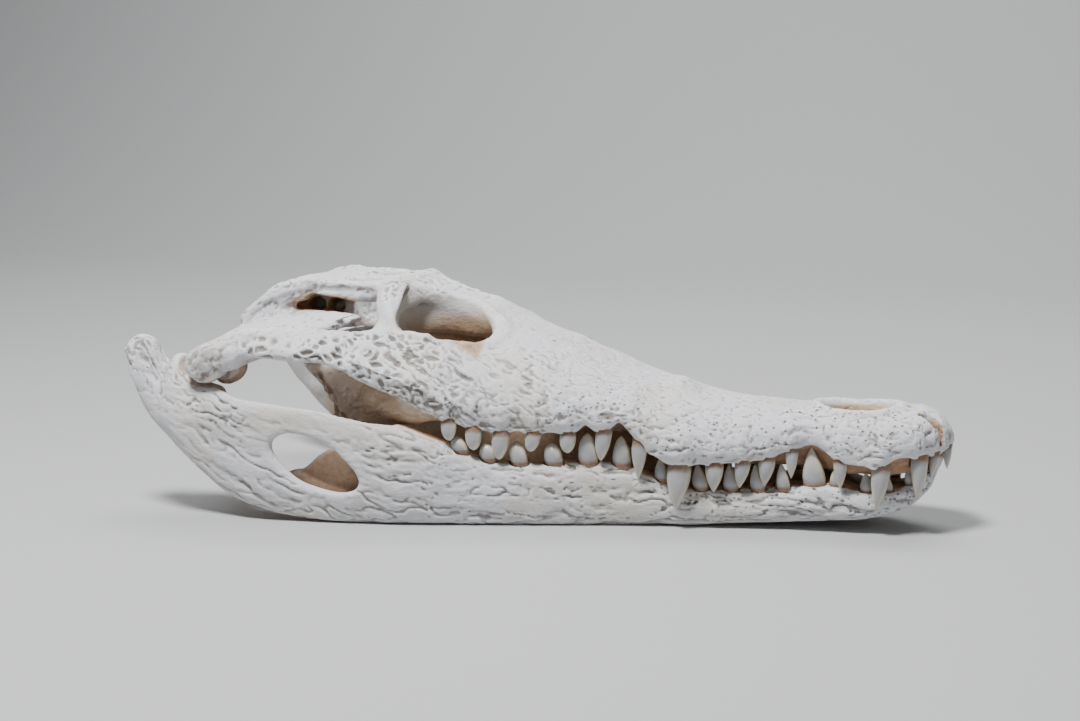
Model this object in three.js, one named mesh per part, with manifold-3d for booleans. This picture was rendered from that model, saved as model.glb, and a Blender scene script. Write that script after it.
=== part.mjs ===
// A dry crocodile skull with its lower jaw, life size, in millimetres.
// +X points to the snout tip, +Y to the animal's left and +Z up. The origin is
// under the middle of the skull, on the surface that the lower jaw lies on.
// Three bones that come apart by hand are three meshes: the skull with its upper
// teeth, and the two halves of the lower jaw, which meet at the chin.

import * as THREE from 'three';
import { LoftGeometry } from 'three/addons/geometries/LoftGeometry.js';
import { mergeVertices } from 'three/addons/utils/BufferGeometryUtils.js';
import Module from 'manifold-3d';

// ---- Driving dimensions -------------------------------------------------------

const WALL = 9; // thickness of the skull's bone round the eye sockets
const GAP = 0.3; // clearance between bones that touch
const TOOTH_SIDES = 5;

const ORBIT = { x: -57, y: 39, z: 122, length: 59, width: 42, lean: 0.4, depth: 50 };
const ROOF_HOLE = { x: -114, y: 22, length: 30, width: 18 };
const NOSTRIL = { x: 196, length: 44, width: 34, floor: 55 };
const PALATE_HOLE = { x: -30, y: 38, length: 96, width: 40 };
const JAW_HOLE = { x: -118, z: 37, length: 58, height: 27, slope: -0.44 };
const EAR_POCKETS = [[-137, 12], [-152, 10]]; // places and widths of the ear's two pockets
const CONDYLE = { x: -172, z: 98, radius: 10 };
const TIP_HOLE = { x: 243.5, y: 10.5, diameter: 8 };

// ---- Smooth courses through a few stations ------------------------------------

/** A smooth function through [position, value] stations, held level past both ends. */
function course(...stations) {
  const last = stations.length - 1;
  const secant = (i) => (stations[i + 1][1] - stations[i][1]) / (stations[i + 1][0] - stations[i][0]);
  const slope = (i) => {
    if (i === 0 || i === last) return secant(Math.min(i, last - 1));
    const [before, after] = [secant(i - 1), secant(i)];
    return before * after > 0 ? (2 * before * after) / (before + after) : 0;
  };
  return (x) => {
    if (x <= stations[0][0]) return stations[0][1];
    if (x >= stations[last][0]) return stations[last][1];
    const i = stations.findIndex((station, k) => x < stations[k + 1][0]);
    const span = stations[i + 1][0] - stations[i][0];
    const t = (x - stations[i][0]) / span;
    const [from, to] = [stations[i][1], stations[i + 1][1]];
    const [leave, arrive] = [slope(i) * span, slope(i + 1) * span];
    const ease = t * t * (3 - 2 * t);
    return from + (to - from) * ease + t * (1 - t) * (leave * (1 - t) - arrive * t);
  };
}

/** A rounded swelling of a given height about a place, about twice `reach` wide. */
const swelling = (x, place, reach, height) => height * Math.exp(-(((x - place) / reach) ** 2));

/** Evenly spaced numbers from one end to the other, both included. */
const steps = (from, to, count) =>
  Array.from({ length: count + 1 }, (unused, i) => from + ((to - from) * i) / count);

// ---- Solids -------------------------------------------------------------------

const wasm = await Module();
wasm.setup();

/** Turns a closed three.js geometry into a solid that can be joined and cut. */
function solid(geometry) {
  const plain = new THREE.BufferGeometry().copy(geometry);
  plain.deleteAttribute('normal');
  plain.deleteAttribute('uv');
  const merged = mergeVertices(plain, 1e-4);
  const vertProperties = new Float32Array(merged.attributes.position.array);
  const triVerts = new Uint32Array(merged.index.array);
  return new wasm.Manifold(new wasm.Mesh({ numProp: 3, vertProperties, triVerts }));
}

/** Joins a list of solids into one. */
const join = (solids) => solids.reduce((whole, next) => whole.add(next));

/** The mean of a ring's points. */
const middleOf = (ring) =>
  ring.reduce((sum, point) => sum.add(point), new THREE.Vector3()).divideScalar(ring.length);

/** True when a ring runs anticlockwise as seen from the ring after it. */
function runsForward(ring, next) {
  const middle = middleOf(ring);
  const normal = new THREE.Vector3();
  ring.forEach((point, i) => {
    const following = ring[(i + 1) % ring.length].clone().sub(middle);
    normal.add(point.clone().sub(middle).cross(following));
  });
  return normal.dot(middleOf(next).sub(middle)) > 0;
}

/** A bone swept through rings of points, closed at both ends, with its faces pointing out. */
function sweep(rings) {
  const ordered = runsForward(rings[0], rings[1]) ? rings : rings.map((ring) => [...ring].reverse());
  return solid(new LoftGeometry(ordered, { closed: true, capStart: true, capEnd: true }));
}

/** The three.js geometry of a finished solid. */
function geometryOf(body) {
  const mesh = body.getMesh();
  const geometry = new THREE.BufferGeometry();
  geometry.setAttribute('position', new THREE.BufferAttribute(mesh.vertProperties, 3));
  geometry.setIndex(new THREE.BufferAttribute(mesh.triVerts, 1));
  return geometry;
}

// ---- Rings --------------------------------------------------------------------

/** A number raised to a power with its sign kept. */
const signedPower = (value, power) => Math.sign(value) * Math.abs(value) ** power;

/**
 * A flattened ring between two edges [u, v], `thick` across. Power 2 makes an
 * ellipse and higher powers a squarer bar. The ring reaches its full size both
 * ways, with a flat there. `place` puts each [u, v] in space.
 */
function bladeRing(edgeA, edgeB, thick, place, { sides = 10, power = 2.5 } = {}) {
  const [du, dv] = [(edgeB[0] - edgeA[0]) / 2, (edgeB[1] - edgeA[1]) / 2];
  const [mu, mv] = [(edgeB[0] + edgeA[0]) / 2, (edgeB[1] + edgeA[1]) / 2];
  const reach = Math.hypot(du, dv);
  const [nu, nv] = [(-dv / reach) * (thick / 2), (du / reach) * (thick / 2)];
  const angles = Array.from({ length: sides }, (unused, i) => (2 * Math.PI * (i + 0.5)) / sides);
  const full = (rounded) => {
    const shares = angles.map((angle) => signedPower(rounded(angle), 2 / power));
    return shares.map((share) => share / Math.max(...shares));
  };
  const [along, across] = [full(Math.cos), full(Math.sin)];
  return angles.map((angle, i) =>
    place(mu + du * along[i] + nu * across[i], mv + dv * along[i] + nv * across[i]));
}

const inPlaneX = (x, side = 1) => (y, z) => new THREE.Vector3(x, y * side, z);
const inPlaneY = (y) => (x, z) => new THREE.Vector3(x, y, z);
const inPlaneZ = (z) => (x, y) => new THREE.Vector3(x, y, z);

/** An oval ring of a given length along u and width along v. */
function ovalRing(u, v, length, width, place, { sides = 16, power = 2, turn = 0 } = {}) {
  const [du, dv] = [(Math.cos(turn) * length) / 2, (Math.sin(turn) * length) / 2];
  return bladeRing([u - du, v - dv], [u + du, v + dv], width, place, { sides, power });
}

// ---- The face: snout, brow and cheeks as one vault -----------------------------

const FACE_REAR = -94;
const FACE_FRONT = 252;

const faceHalfWidth = (x) =>
  course(
    [-97, 101], [-65, 94], [-42, 87], [10, 72], [63, 58], [121, 46.5], [165, 36],
    [211, 36], [229, 30.5], [241, 21.5], [248, 13], [252, 5.5],
  )(x) + swelling(x, 95, 15, 3.5) - swelling(x, 172, 10, 5);

const faceTop = (x) =>
  course(
    [-97, 143.5], [-75, 138.5], [-60, 134], [-40, 127.5], [-19, 118], [8, 108], [34, 98],
    [60, 88], [82, 82], [124, 74], [160, 73], [232, 74.5], [244, 70.5], [250, 64], [252, 59],
  )(x);

const faceMargin = (x) =>
  course(
    [-97, 93.5], [-82, 86], [-65, 78], [-42, 66.5], [-25, 60], [-8, 58], [28, 58], [63, 60.5],
    [80, 46], [98, 40.5], [121, 41.5], [146, 44.5], [172, 52.5], [190, 45], [211, 42.5],
    [226, 49], [241, 49], [252, 54],
  )(x);

/** Half-width of the flat strip along the top, between the eye sockets and behind them. */
const facePlateau = course([-97, 38], [-85, 24], [-65, 15], [-28, 11], [20, 5], [250, 3]);

/** How round the sides are: 1 is a straight slope, 2 an ellipse and less than 1 a hollow. */
const faceRoundness = course([-97, 0.62], [-85, 0.75], [-65, 1.14], [-45, 1.44], [-28, 1.5],
  [10, 1.85], [60, 2.1], [250, 2.3]);

/** Height of the side above the tooth row where the face is widest, as a share of its height. */
const WIDEST_AT = 0.14;
const SIDE_STEPS = 4;

/** One half of the face outline at x, from the middle of the palate to the middle of the top. */
function faceHalfOutline(x, inset = 0, floor = faceMargin(x)) {
  const half = faceHalfWidth(x) - inset;
  const top = faceTop(x) - inset;
  const margin = faceMargin(x);
  const widest = Math.max(margin + WIDEST_AT * (faceTop(x) - margin), floor + 0.2 * (top - floor));
  const plateau = Math.min(facePlateau(x), half * 0.6);
  const power = 2 / faceRoundness(x);
  const palate = inset ? floor : margin + Math.min(8, (top - margin) * 0.3);
  const outline = [[0, palate], [half * 0.45, palate], [half * 0.72, inset ? floor : margin + 2]];
  outline.push([half * 0.95, floor]);
  for (const angle of steps(0, Math.PI / 2, SIDE_STEPS)) {
    const out = Math.cos(angle) ** power;
    const up = Math.sin(angle) ** power;
    outline.push([plateau + (half - plateau) * out, widest + (top - widest) * up]);
  }
  outline.push([0, top]);
  return outline;
}

/** The whole ring at x, from one half outline and its mirror image. */
function faceRing(x, inset, floor) {
  const left = faceHalfOutline(x, inset, floor);
  const right = left.slice(1, -1).reverse().map(([y, z]) => [-y, z]);
  return [...left, ...right].map(([y, z]) => new THREE.Vector3(x, y, z));
}

function face() {
  const back = steps(FACE_REAR, 46, 9);
  const front = steps(60, 240, 13);
  return sweep([...back, ...front, 246, 249, 251.4, FACE_FRONT].map((x) => faceRing(x)));
}

/** The hollow behind the snout that holds the eyes and jaw muscles, open below. */
function eyeChamber() {
  const floor = course([-110, 20], [-45, 20], [-38, 72], [6, 74]);
  const taper = course([-20, 0], [-4, 7], [6, 24]);
  const stations = [-112, -97, -80, -62, -45, -38, -25, -10, 0, 6];
  return sweep(stations.map((x) => faceRing(x, WALL + taper(x), floor(x))));
}

/** A straight oval cutter for one eye socket, leaning outwards. */
function orbitCutter(side) {
  const normal = new THREE.Vector3(0, side * Math.sin(ORBIT.lean), Math.cos(ORBIT.lean));
  const across = new THREE.Vector3(0, side * Math.cos(ORBIT.lean), -Math.sin(ORBIT.lean));
  const middle = new THREE.Vector3(ORBIT.x, side * ORBIT.y, ORBIT.z);
  const at = (height, scale) => ovalRing(0, 0, ORBIT.length * scale, ORBIT.width * scale, (u, v) =>
    middle.clone().add(new THREE.Vector3(u, 0, 0)).addScaledVector(across, v)
      .addScaledVector(normal, height), { sides: 14 });
  return sweep([at(-ORBIT.depth, 0.9), at(0, 1), at(ORBIT.depth / 2, 1.25)]);
}

/** The long hole through the palate on one side. */
function palateCutter(side) {
  const at = (z) => ovalRing(PALATE_HOLE.x, side * PALATE_HOLE.y, PALATE_HOLE.length,
    PALATE_HOLE.width, inPlaneZ(z), { sides: 12 });
  return sweep([at(40), at(90)]);
}

/** The single nostril on top of the snout tip, a bowl that narrows downwards. */
function nostrilCutter() {
  const at = (z, scale) => ovalRing(NOSTRIL.x, 0, NOSTRIL.length * scale, NOSTRIL.width * scale,
    inPlaneZ(z), { sides: 14 });
  return sweep([at(NOSTRIL.floor, 0.7), at(NOSTRIL.floor + 8, 0.9), at(74, 1), at(90, 1.3)]);
}

/** The hole near the snout tip that the first lower tooth stands in. */
function tipHoleCutter(side) {
  const at = (z, lean) => ovalRing(TIP_HOLE.x + lean, side * TIP_HOLE.y, TIP_HOLE.diameter,
    TIP_HOLE.diameter, inPlaneZ(z), { sides: 8 });
  return sweep([at(40, -2), at(85, 2)]);
}

// ---- The back of the skull ------------------------------------------------------

/** The flat roof behind the eyes. */
function skullTable() {
  const half = course([-174, 46], [-160, 47.5], [-130, 44], [-100, 39], [-84, 24]);
  const top = course([-174, 138], [-162, 143.5], [-150, 146.5], [-135, 145], [-110, 146], [-84, 140]);
  const thick = course([-174, 9], [-150, 10], [-125, 15], [-84, 16]);
  const ring = (x) => ovalRing(0, top(x) - thick(x) / 2, half(x) * 2, thick(x), inPlaneX(x),
    { sides: 12, power: 5 });
  return sweep(steps(-174, -84, 7).map(ring));
}

/** One of the two holes through the roof. */
function roofHoleCutter(side) {
  const at = (z) => ovalRing(ROOF_HOLE.x, side * ROOF_HOLE.y, ROOF_HOLE.length, ROOF_HOLE.width,
    inPlaneZ(z), { sides: 12 });
  return sweep([at(120), at(155)]);
}

/** The horn at the rear corner of the roof, curving down to the jaw joint's bone. */
function horn(side) {
  const y = course([-191, 51], [-178, 49.5], [-150, 42]);
  const z = course([-191, 117], [-178, 125], [-165, 133.5], [-150, 139]);
  const thick = course([-191, 8], [-170, 14], [-150, 13]);
  const ring = (x) => ovalRing(y(x), z(x), thick(x), thick(x) * 1.1, inPlaneX(x, side), { sides: 8 });
  return sweep(steps(-191, -150, 4).map(ring));
}

/** The box of bone round the brain. */
function braincase() {
  const half = course([-170, 24], [-150, 23], [-120, 17], [-92, 13]);
  const low = course([-170, 88], [-140, 84], [-115, 92], [-92, 108]);
  const ring = (x) => ovalRing(0, (138 + low(x)) / 2, half(x) * 2, 138 - low(x), inPlaneX(x),
    { sides: 10, power: 3.2 });
  return sweep(steps(-170, -92, 4).map(ring));
}

/** The thin keel of bone that runs forward from the brain's box between the eyes. */
function keel() {
  const middle = course([-104, 112], [-50, 103]);
  const tall = course([-104, 20], [-50, 9]);
  const ring = (x) => ovalRing(0, middle(x), 6, tall(x), inPlaneX(x), { sides: 8 });
  return sweep(steps(-104, -50, 3).map(ring));
}

/** A pocket of the ear in the side of the brain's box. */
function earCutter(side, x, width) {
  const at = (y) => ovalRing(x, 123.5, width, 11, inPlaneY(side * y), { sides: 10 });
  return sweep([at(10), at(30)]);
}

/** The rear wall of the skull, from the roof down to the back of the palate. */
function occiput() {
  const half = course([60, 17], [75, 20], [92, 24], [108, 40], [122, 50], [140, 46]);
  const rear = course([60, -143], [72, -157], [84, -168], [108, -174], [125, -178], [140, -170]);
  const front = course([60, -128], [75, -134], [92, -142], [108, -158], [125, -162], [140, -154]);
  const ring = (z) => ovalRing((rear(z) + front(z)) / 2, 0, half(z) * 2, front(z) - rear(z),
    inPlaneZ(z), { sides: 12, power: 3, turn: Math.PI / 2 });
  return sweep(steps(60, 140, 6).map(ring));
}

/** The ball that the neck turns on. */
function neckCondyle() {
  const ball = new THREE.SphereGeometry(CONDYLE.radius, 10, 6);
  ball.translate(CONDYLE.x, 0, CONDYLE.z);
  return solid(ball);
}

/** The opening above the ball for the spinal cord. */
function spineCutter() {
  const at = (x) => ovalRing(0, CONDYLE.z + 16, 15, 12, inPlaneX(x), { sides: 12 });
  return sweep([at(-190), at(-152)]);
}

/** The bone that carries the jaw joint, a plate sweeping out and back to its rounded end. */
function quadrate(side) {
  const frontX = course([20, -130], [48, -112], [62, -117], [80, -130], [90, -142], [98, -160], [106, -170]);
  const rearX = course([20, -166], [42, -183], [60, -188], [80, -197], [98, -207], [106, -203]);
  const frontZ = course([20, 110], [48, 119], [62, 117.5], [80, 113], [98, 103], [106, 101]);
  const rearZ = course([20, 118], [42, 117], [60, 110], [80, 102], [98, 94.5], [106, 94]);
  const thick = course([20, 10], [48, 9], [62, 10], [80, 15], [98, 20], [106, 14]);
  const ring = (y) => bladeRing([rearX(y), rearZ(y)], [frontX(y), frontZ(y)], thick(y),
    inPlaneY(side * y), { sides: 8 });
  return sweep([20, 48, 62, 72, 80, 90, 98, 103, 106].map(ring));
}

/** The cheek arch from under the eye socket back to the jaw joint. */
function cheekArch(side) {
  const highY = course([-190, 101], [-172, 98], [-160, 96], [-133, 87], [-108, 75], [-92, 66], [-70, 62]);
  const highZ = course([-190, 104], [-172, 113], [-160, 116.5], [-133, 116], [-92, 114], [-70, 114]);
  const lowY = course([-190, 106], [-160, 107], [-133, 107], [-108, 103.5], [-92, 98.5], [-70, 92.5]);
  const lowZ = course([-190, 92], [-172, 97], [-160, 101.5], [-118, 101], [-97, 93.5], [-82, 86], [-70, 80]);
  const ring = (x) => bladeRing([lowY(x), lowZ(x)], [highY(x), highZ(x)], 9.5, inPlaneX(x, side),
    { sides: 8, power: 3 });
  return sweep(steps(-190, -70, 8).map(ring));
}

/** The bar of palate bone between the two palate holes. */
function palateBar() {
  const half = course([-100, 20], [-80, 13], [-40, 10], [0, 16], [20, 24]);
  const ring = (x) => ovalRing(0, 70, half(x) * 2, 17, inPlaneX(x), { sides: 8, power: 2.6 });
  return sweep(steps(-100, 20, 5).map(ring));
}

/** The broad wing of bone that slants down from the palate inside the lower jaw. */
function palateWing(side) {
  const frontX = course([6, -74], [30, -82], [50, -80], [66, -80]);
  const rearX = course([6, -146], [30, -136], [50, -124], [66, -106]);
  const height = course([6, 66], [25, 61], [50, 46], [66, 35]);
  const ring = (y) => bladeRing([rearX(y), height(y)], [frontX(y), height(y) + 1], 8,
    inPlaneY(side * y), { sides: 8 });
  return sweep([6, 22, 36, 50, 60, 66].map(ring));
}

/** The web from the brain's box down to the wing, hollow towards the side. */
function palateWeb(side) {
  const y = course([50, 56], [70, 47], [90, 31], [112, 20]);
  const frontX = course([50, -84], [70, -88], [90, -96], [112, -104]);
  const rearX = course([50, -120], [70, -127], [90, -138], [112, -148]);
  const ring = (z) => bladeRing([rearX(z), side * y(z)], [frontX(z), side * y(z)], 7,
    inPlaneZ(z), { sides: 8 });
  return sweep(steps(50, 112, 4).map(ring));
}

/** The strut from the cheek down to the edge of the wing. */
function cheekStrut(side) {
  const y = course([-88, 62], [-66, 66], [-42, 70]);
  const z = course([-88, 46], [-66, 62], [-42, 76]);
  const tall = course([-88, 14], [-66, 11], [-42, 16]);
  const ring = (x) => ovalRing(y(x), z(x), 9, tall(x), inPlaneX(x, side), { sides: 8 });
  return sweep(steps(-88, -42, 3).map(ring));
}

// ---- Teeth ----------------------------------------------------------------------

/** How wide a tooth is at each share of its length: [share, share of its root width]. */
const TOOTH_PROFILE = [[-0.22, 0.95], [0.2, 1], [0.7, 0.6], [1, 0.08]];

/** A curved cone from its root to its tip, leaning outwards in the middle by `bow`. */
function tooth(root, tip, width, bow) {
  const axis = tip.clone().sub(root);
  const outward = new THREE.Vector3(0, Math.sign(root.y), 0);
  const forward = new THREE.Vector3(1, 0, 0);
  const rings = TOOTH_PROFILE.map(([share, girth]) => {
    const middle = root.clone().addScaledVector(axis, share);
    middle.addScaledVector(outward, bow * 4 * share * (1 - share));
    return Array.from({ length: TOOTH_SIDES }, (unused, i) => {
      const angle = (2 * Math.PI * i) / TOOTH_SIDES;
      const radius = (width / 2) * girth;
      return middle.clone().addScaledVector(forward, radius * Math.cos(angle))
        .addScaledVector(outward, radius * 0.9 * Math.sin(angle));
    });
  });
  return sweep(rings);
}

/** Upper teeth of one side, front to back: [x, distance inside the lip, length, width]. */
const UPPER_TEETH = [
  [249.5, 5.5, 14, 5], [243.5, 3.6, 15, 5.5], [235, 1.5, 27, 10], [214, 2, 27, 11], [190, 3, 17, 8],
  [161, 4, 18, 7.5], [147, 4, 18, 9.5], [133, 4.5, 17, 9.5], [116.5, 4, 18, 11], [96.5, 5, 28, 14],
  [72.5, 4, 23, 9], [51.5, 5.5, 19.5, 10], [30.5, 6, 13, 9.5], [10.5, 6, 12.5, 9.5],
  [-8.5, 6, 17.5, 10.5], [-24.5, 6, 13.5, 9.5], [-39, 6.5, 13, 9.5],
];

function upperTeeth(side) {
  return UPPER_TEETH.map(([x, inside, length, width]) => {
    const y = side * (faceHalfWidth(x) - inside);
    const gum = faceMargin(x) + 1;
    const root = new THREE.Vector3(x, y, gum);
    const tip = new THREE.Vector3(x - 0.5, y, gum - length);
    return tooth(root, tip, width, 1);
  });
}

/** Lower teeth of one side, front to back: [x, distance inside the outer face, length, width]. */
const LOWER_TEETH = [
  [229, 6, 12, 5.5], [217, 6, 11, 6], [205, 6, 11, 7], [187, 6.5, 11, 7], [174, 6.5, 22, 12.5],
  [156, 6, 15, 7.5], [141, 6.5, 15, 8], [125, 7, 15, 8.5], [107, 7.5, 15, 8.5], [84, 8, 14, 8],
  [60.5, 8, 17, 10.5], [41, 8, 17.5, 11], [21, 8.5, 12, 10.5], [1, 9, 13, 10], [-17, 9, 10, 9],
  [-33, 9, 8.5, 9],
];

function lowerTeeth(side) {
  const teeth = LOWER_TEETH.map(([x, inside, length, width]) => {
    const y = side * (jawOuter(x) - inside);
    const gum = jawTop(x) - 0.5;
    return tooth(new THREE.Vector3(x, y, gum), new THREE.Vector3(x - 1, y, gum + length), width, 1);
  });
  const first = tooth(new THREE.Vector3(241, side * 8.5, 40),
    new THREE.Vector3(TIP_HOLE.x + 0.6, side * TIP_HOLE.y, 66), 5.4, 0);
  return [...teeth, first];
}

// ---- The lower jaw ----------------------------------------------------------------

const JAW_REAR = -248;
const JAW_FRONT = 246.5;
const JAW_WALL = 7;

/** Distance of the jaw's outer face from the middle plane. */
const jawOuter = course([-248, 99], [-230, 103], [-205, 109], [-165, 110], [-110, 104], [-66, 95],
  [-43, 88], [-9, 77], [14, 69.5], [49, 58], [72, 51.5], [95, 45.5], [137, 36.5], [178, 31],
  [205, 28.5], [225, 22], [236, 15], [243, 9.5], [246.5, 6]);

/** Distance of the jaw's inner face from the middle plane. */
const jawInner = course([-248, 92], [-230, 86], [-207, 76], [-190, 84], [-165, 90], [-110, 86],
  [-66, 75], [-43, 67], [-9, 55], [14, 48], [49, 37], [95, 24], [137, 11], [163, GAP / 2],
  [246.5, GAP / 2]);

const jawTop = course([-248, 104], [-245, 109], [-236, 108.5], [-230, 98], [-225.5, 90.5],
  [-220, 96.5], [-212, 87], [-200, 82.5], [-165, 80.8], [-108, 73.6], [-66, 62.4], [-43, 51.8],
  [-26, 43.7], [-9, 38], [49, 37], [61, 34.5], [74, 26.5], [96, 21.6], [140, 23], [176, 27.5],
  [196, 21], [218, 23], [230, 28], [240, 40], [246.5, 48]);

const jawLow = course([-248, 100], [-243, 85], [-233, 63], [-208, 39], [-179, 15], [-145, 4.5],
  [-119, 1], [-85, 0], [60, 0], [143, 2.5], [195, 7.5], [218, 12.5], [232, 18], [239, 26],
  [243, 35], [246.5, 44]);

/** How far the jaw's lower edge leans outwards, which tilts the lever behind the joint. */
const jawLean = course([-248, 4], [-215, 5], [-190, 0]);

/** Half of the lower jaw as one full bar, before it is hollowed. */
function jawBar(side) {
  const ring = (x) => {
    const [middle, reach] = [(jawTop(x) + jawLow(x)) / 2, (jawTop(x) - jawLow(x)) / 2];
    const place = (y, z) => inPlaneX(x, side)(y - (jawLean(x) * (z - middle)) / reach, z);
    return ovalRing((jawOuter(x) + jawInner(x)) / 2, middle, jawOuter(x) - jawInner(x), reach * 2,
      place, { sides: 12, power: 2.9 });
  };
  const joint = [JAW_REAR, -246, -240, -233, -229, -225, -220, -215, -207, -196];
  const front = [233, 240, JAW_FRONT];
  return sweep([...joint, ...steps(-182, 224, 20), ...front].map(ring));
}

/** The trough inside the jaw where its closing muscle sits, open at the top. */
function jawTrough(side) {
  const ring = (x) => {
    const outer = jawOuter(x) - JAW_WALL;
    const inner = jawInner(x) + JAW_WALL - 2;
    const floor = jawLow(x) + 8;
    return ovalRing((outer + inner) / 2, (floor + 110) / 2, outer - inner, 110 - floor,
      inPlaneX(x, side), { sides: 8, power: 4 });
  };
  return sweep(steps(-178, -76, 5).map(ring));
}

/** Opens the inner wall of the trough above a line that rises forwards. */
function innerWallCutter(side) {
  const edge = course([-184, 14], [-150, 22], [-130, 34], [-115, 44], [-95, 56], [-80, 66]);
  const ring = (x) => bladeRing([70, (edge(x) + 110) / 2], [jawInner(x) + 8, (edge(x) + 110) / 2],
    110 - edge(x), inPlaneX(x, side), { sides: 8, power: 6 });
  return sweep(steps(-176, -86, 5).map(ring));
}

/** The oval window through the jaw's outer wall. */
function jawHoleCutter(side) {
  const at = (y) => ovalRing(JAW_HOLE.x, JAW_HOLE.z, JAW_HOLE.length, JAW_HOLE.height,
    inPlaneY(side * y), { sides: 14, power: 1.9, turn: JAW_HOLE.slope });
  return sweep([at(94), at(125)]);
}

// ---- Putting it together ------------------------------------------------------------

function cranium() {
  const cuts = [orbitCutter, palateCutter, tipHoleCutter].flatMap((cut) => [cut(1), cut(-1)]);
  const vault = face().subtract(join([eyeChamber(), nostrilCutter(), ...cuts]));
  const ears = EAR_POCKETS.flatMap(([x, width]) => [earCutter(1, x, width), earCutter(-1, x, width)]);
  const holes = join([roofHoleCutter(1), roofHoleCutter(-1), ...ears]);
  const roof = join([skullTable(), braincase()]).subtract(holes);
  const pairs = [horn, quadrate, cheekArch, palateWing, palateWeb, cheekStrut];
  const sides = pairs.flatMap((bone) => [bone(1), bone(-1)]);
  const rear = join([occiput(), neckCondyle()]).subtract(spineCutter());
  return join([vault, roof, rear, keel(), palateBar(), ...sides, ...upperTeeth(1), ...upperTeeth(-1)]);
}

function jawHalf(side) {
  const hollow = join([jawTrough(side), innerWallCutter(side), jawHoleCutter(side)]);
  return join([jawBar(side).subtract(hollow), ...lowerTeeth(side)]);
}

/** A named mesh of bleached bone. */
function bone(name, body, colour) {
  const material = new THREE.MeshStandardMaterial({ color: colour, roughness: 0.7, metalness: 0 });
  const mesh = new THREE.Mesh(geometryOf(body), material);
  mesh.name = name;
  return mesh;
}

const skull = new THREE.Group();
skull.add(bone('cranium', cranium(), 0xe4e3e0));
skull.add(bone('mandible_right', jawHalf(-1), 0xdedcd6));
skull.add(bone('mandible_left', jawHalf(1), 0xdedcd6));

export default skull;
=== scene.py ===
# %% [markdown]
# # A dry crocodile skull, bone by bone
#
# This notebook builds the finish of a museum skull around a fixed set of plain
# solids: the cranium and the two halves of the lower jaw. Every length of the skull
# is in millimetres, as an anatomist would note it, and becomes metres only when a
# mesh is handed to Blender. The floor, the lights and the camera are in metres from
# the start. +X points to the snout tip, +Y to the animal's left and +Z up, and the
# table is at Z = 0.

import bpy
import numpy as np
import openvdb
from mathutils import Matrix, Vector


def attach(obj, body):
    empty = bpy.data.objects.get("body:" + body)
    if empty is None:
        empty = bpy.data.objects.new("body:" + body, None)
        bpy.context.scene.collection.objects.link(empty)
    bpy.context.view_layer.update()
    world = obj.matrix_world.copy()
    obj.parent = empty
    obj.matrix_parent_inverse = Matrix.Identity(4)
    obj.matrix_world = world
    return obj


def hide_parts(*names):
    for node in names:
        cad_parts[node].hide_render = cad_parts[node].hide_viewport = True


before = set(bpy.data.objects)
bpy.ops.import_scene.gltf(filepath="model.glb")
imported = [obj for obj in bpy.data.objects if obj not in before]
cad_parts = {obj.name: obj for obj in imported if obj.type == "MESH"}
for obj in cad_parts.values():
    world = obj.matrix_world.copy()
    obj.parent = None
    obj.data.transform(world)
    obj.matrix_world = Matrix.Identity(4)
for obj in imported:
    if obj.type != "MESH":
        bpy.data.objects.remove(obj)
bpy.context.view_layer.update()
MM_PER_METRE = 1000
MM = 1 / MM_PER_METRE  # one millimetre in Blender's metres

# %% [markdown]
# ## Smooth courses
#
# A bone's width or height changes along its length without corners. It could be
# drawn with Bezier handles, but a short list of measured stations and a rule for
# the way between them is easier to read and to change. The rule is a cubic whose
# slope at each station is the harmonic mean of the slopes on its two sides, and
# level at a peak, so the curve never overshoots a measured value.

# %% A smooth course through stations


def course(*stations):
    """A function of position: value = cubic between stations, slope = 2ab / (a + b) at each."""
    at, value = np.array(stations, float).T
    secant = np.diff(value) / np.diff(at)
    before, after = secant[:-1], secant[1:]
    same_way = before * after > 0
    inner = np.where(same_way, 2 * before * after / np.where(same_way, before + after, 1), 0)
    slope = np.concatenate([secant[:1], inner, secant[-1:]])

    def curve(x):
        x = np.clip(x, at[0], at[-1])
        i = np.clip(np.searchsorted(at, x, side="right") - 1, 0, len(at) - 2)
        span = at[i + 1] - at[i]
        t = (x - at[i]) / span
        ease = t * t * (3 - 2 * t)
        bend = t * (1 - t) * (slope[i] * (1 - t) - slope[i + 1] * t) * span
        return value[i] + (value[i + 1] - value[i]) * ease + bend

    return curve


def swelling(x, place, reach, height=1.0):
    """A rounded bump: height * exp(-((x - place) / reach)^2)."""
    return height * np.exp(-(((x - place) / reach) ** 2))


def smooth(x, low, high):
    """0 below low, 1 above high and a soft S between: 3t^2 - 2t^3. It also runs backwards."""
    t = np.clip((x - low) / (high - low), 0, 1)
    return t * t * (3 - 2 * t)


print("half of 0..1:", smooth(0.5, 0, 1))

# %% [markdown]
# ## Profiles on a path
#
# Each bone is a profile carried along a path: at every station a ring of points,
# all rings worked out at once as arrays. The profile is always a superellipse,
# round at a power of 2 and nearly a rectangle at 4 or more. It could be a curve
# with a bevel in Blender, but then its section couldn't change along the way.

# %% Rings
AROUND = np.linspace(0, 2 * np.pi, 56, endpoint=False)


def placed(plane, s, u, v):
    """Ring points from station s and in-plane u, v: plane x is (s, u, v), y is (u, s, v), z is (u, v, s)."""
    s, u, v = np.broadcast_arrays(s, u, v)
    order = {"x": (s, u, v), "y": (u, s, v), "z": (u, v, s)}[plane]
    return np.stack(order, -1)


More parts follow.
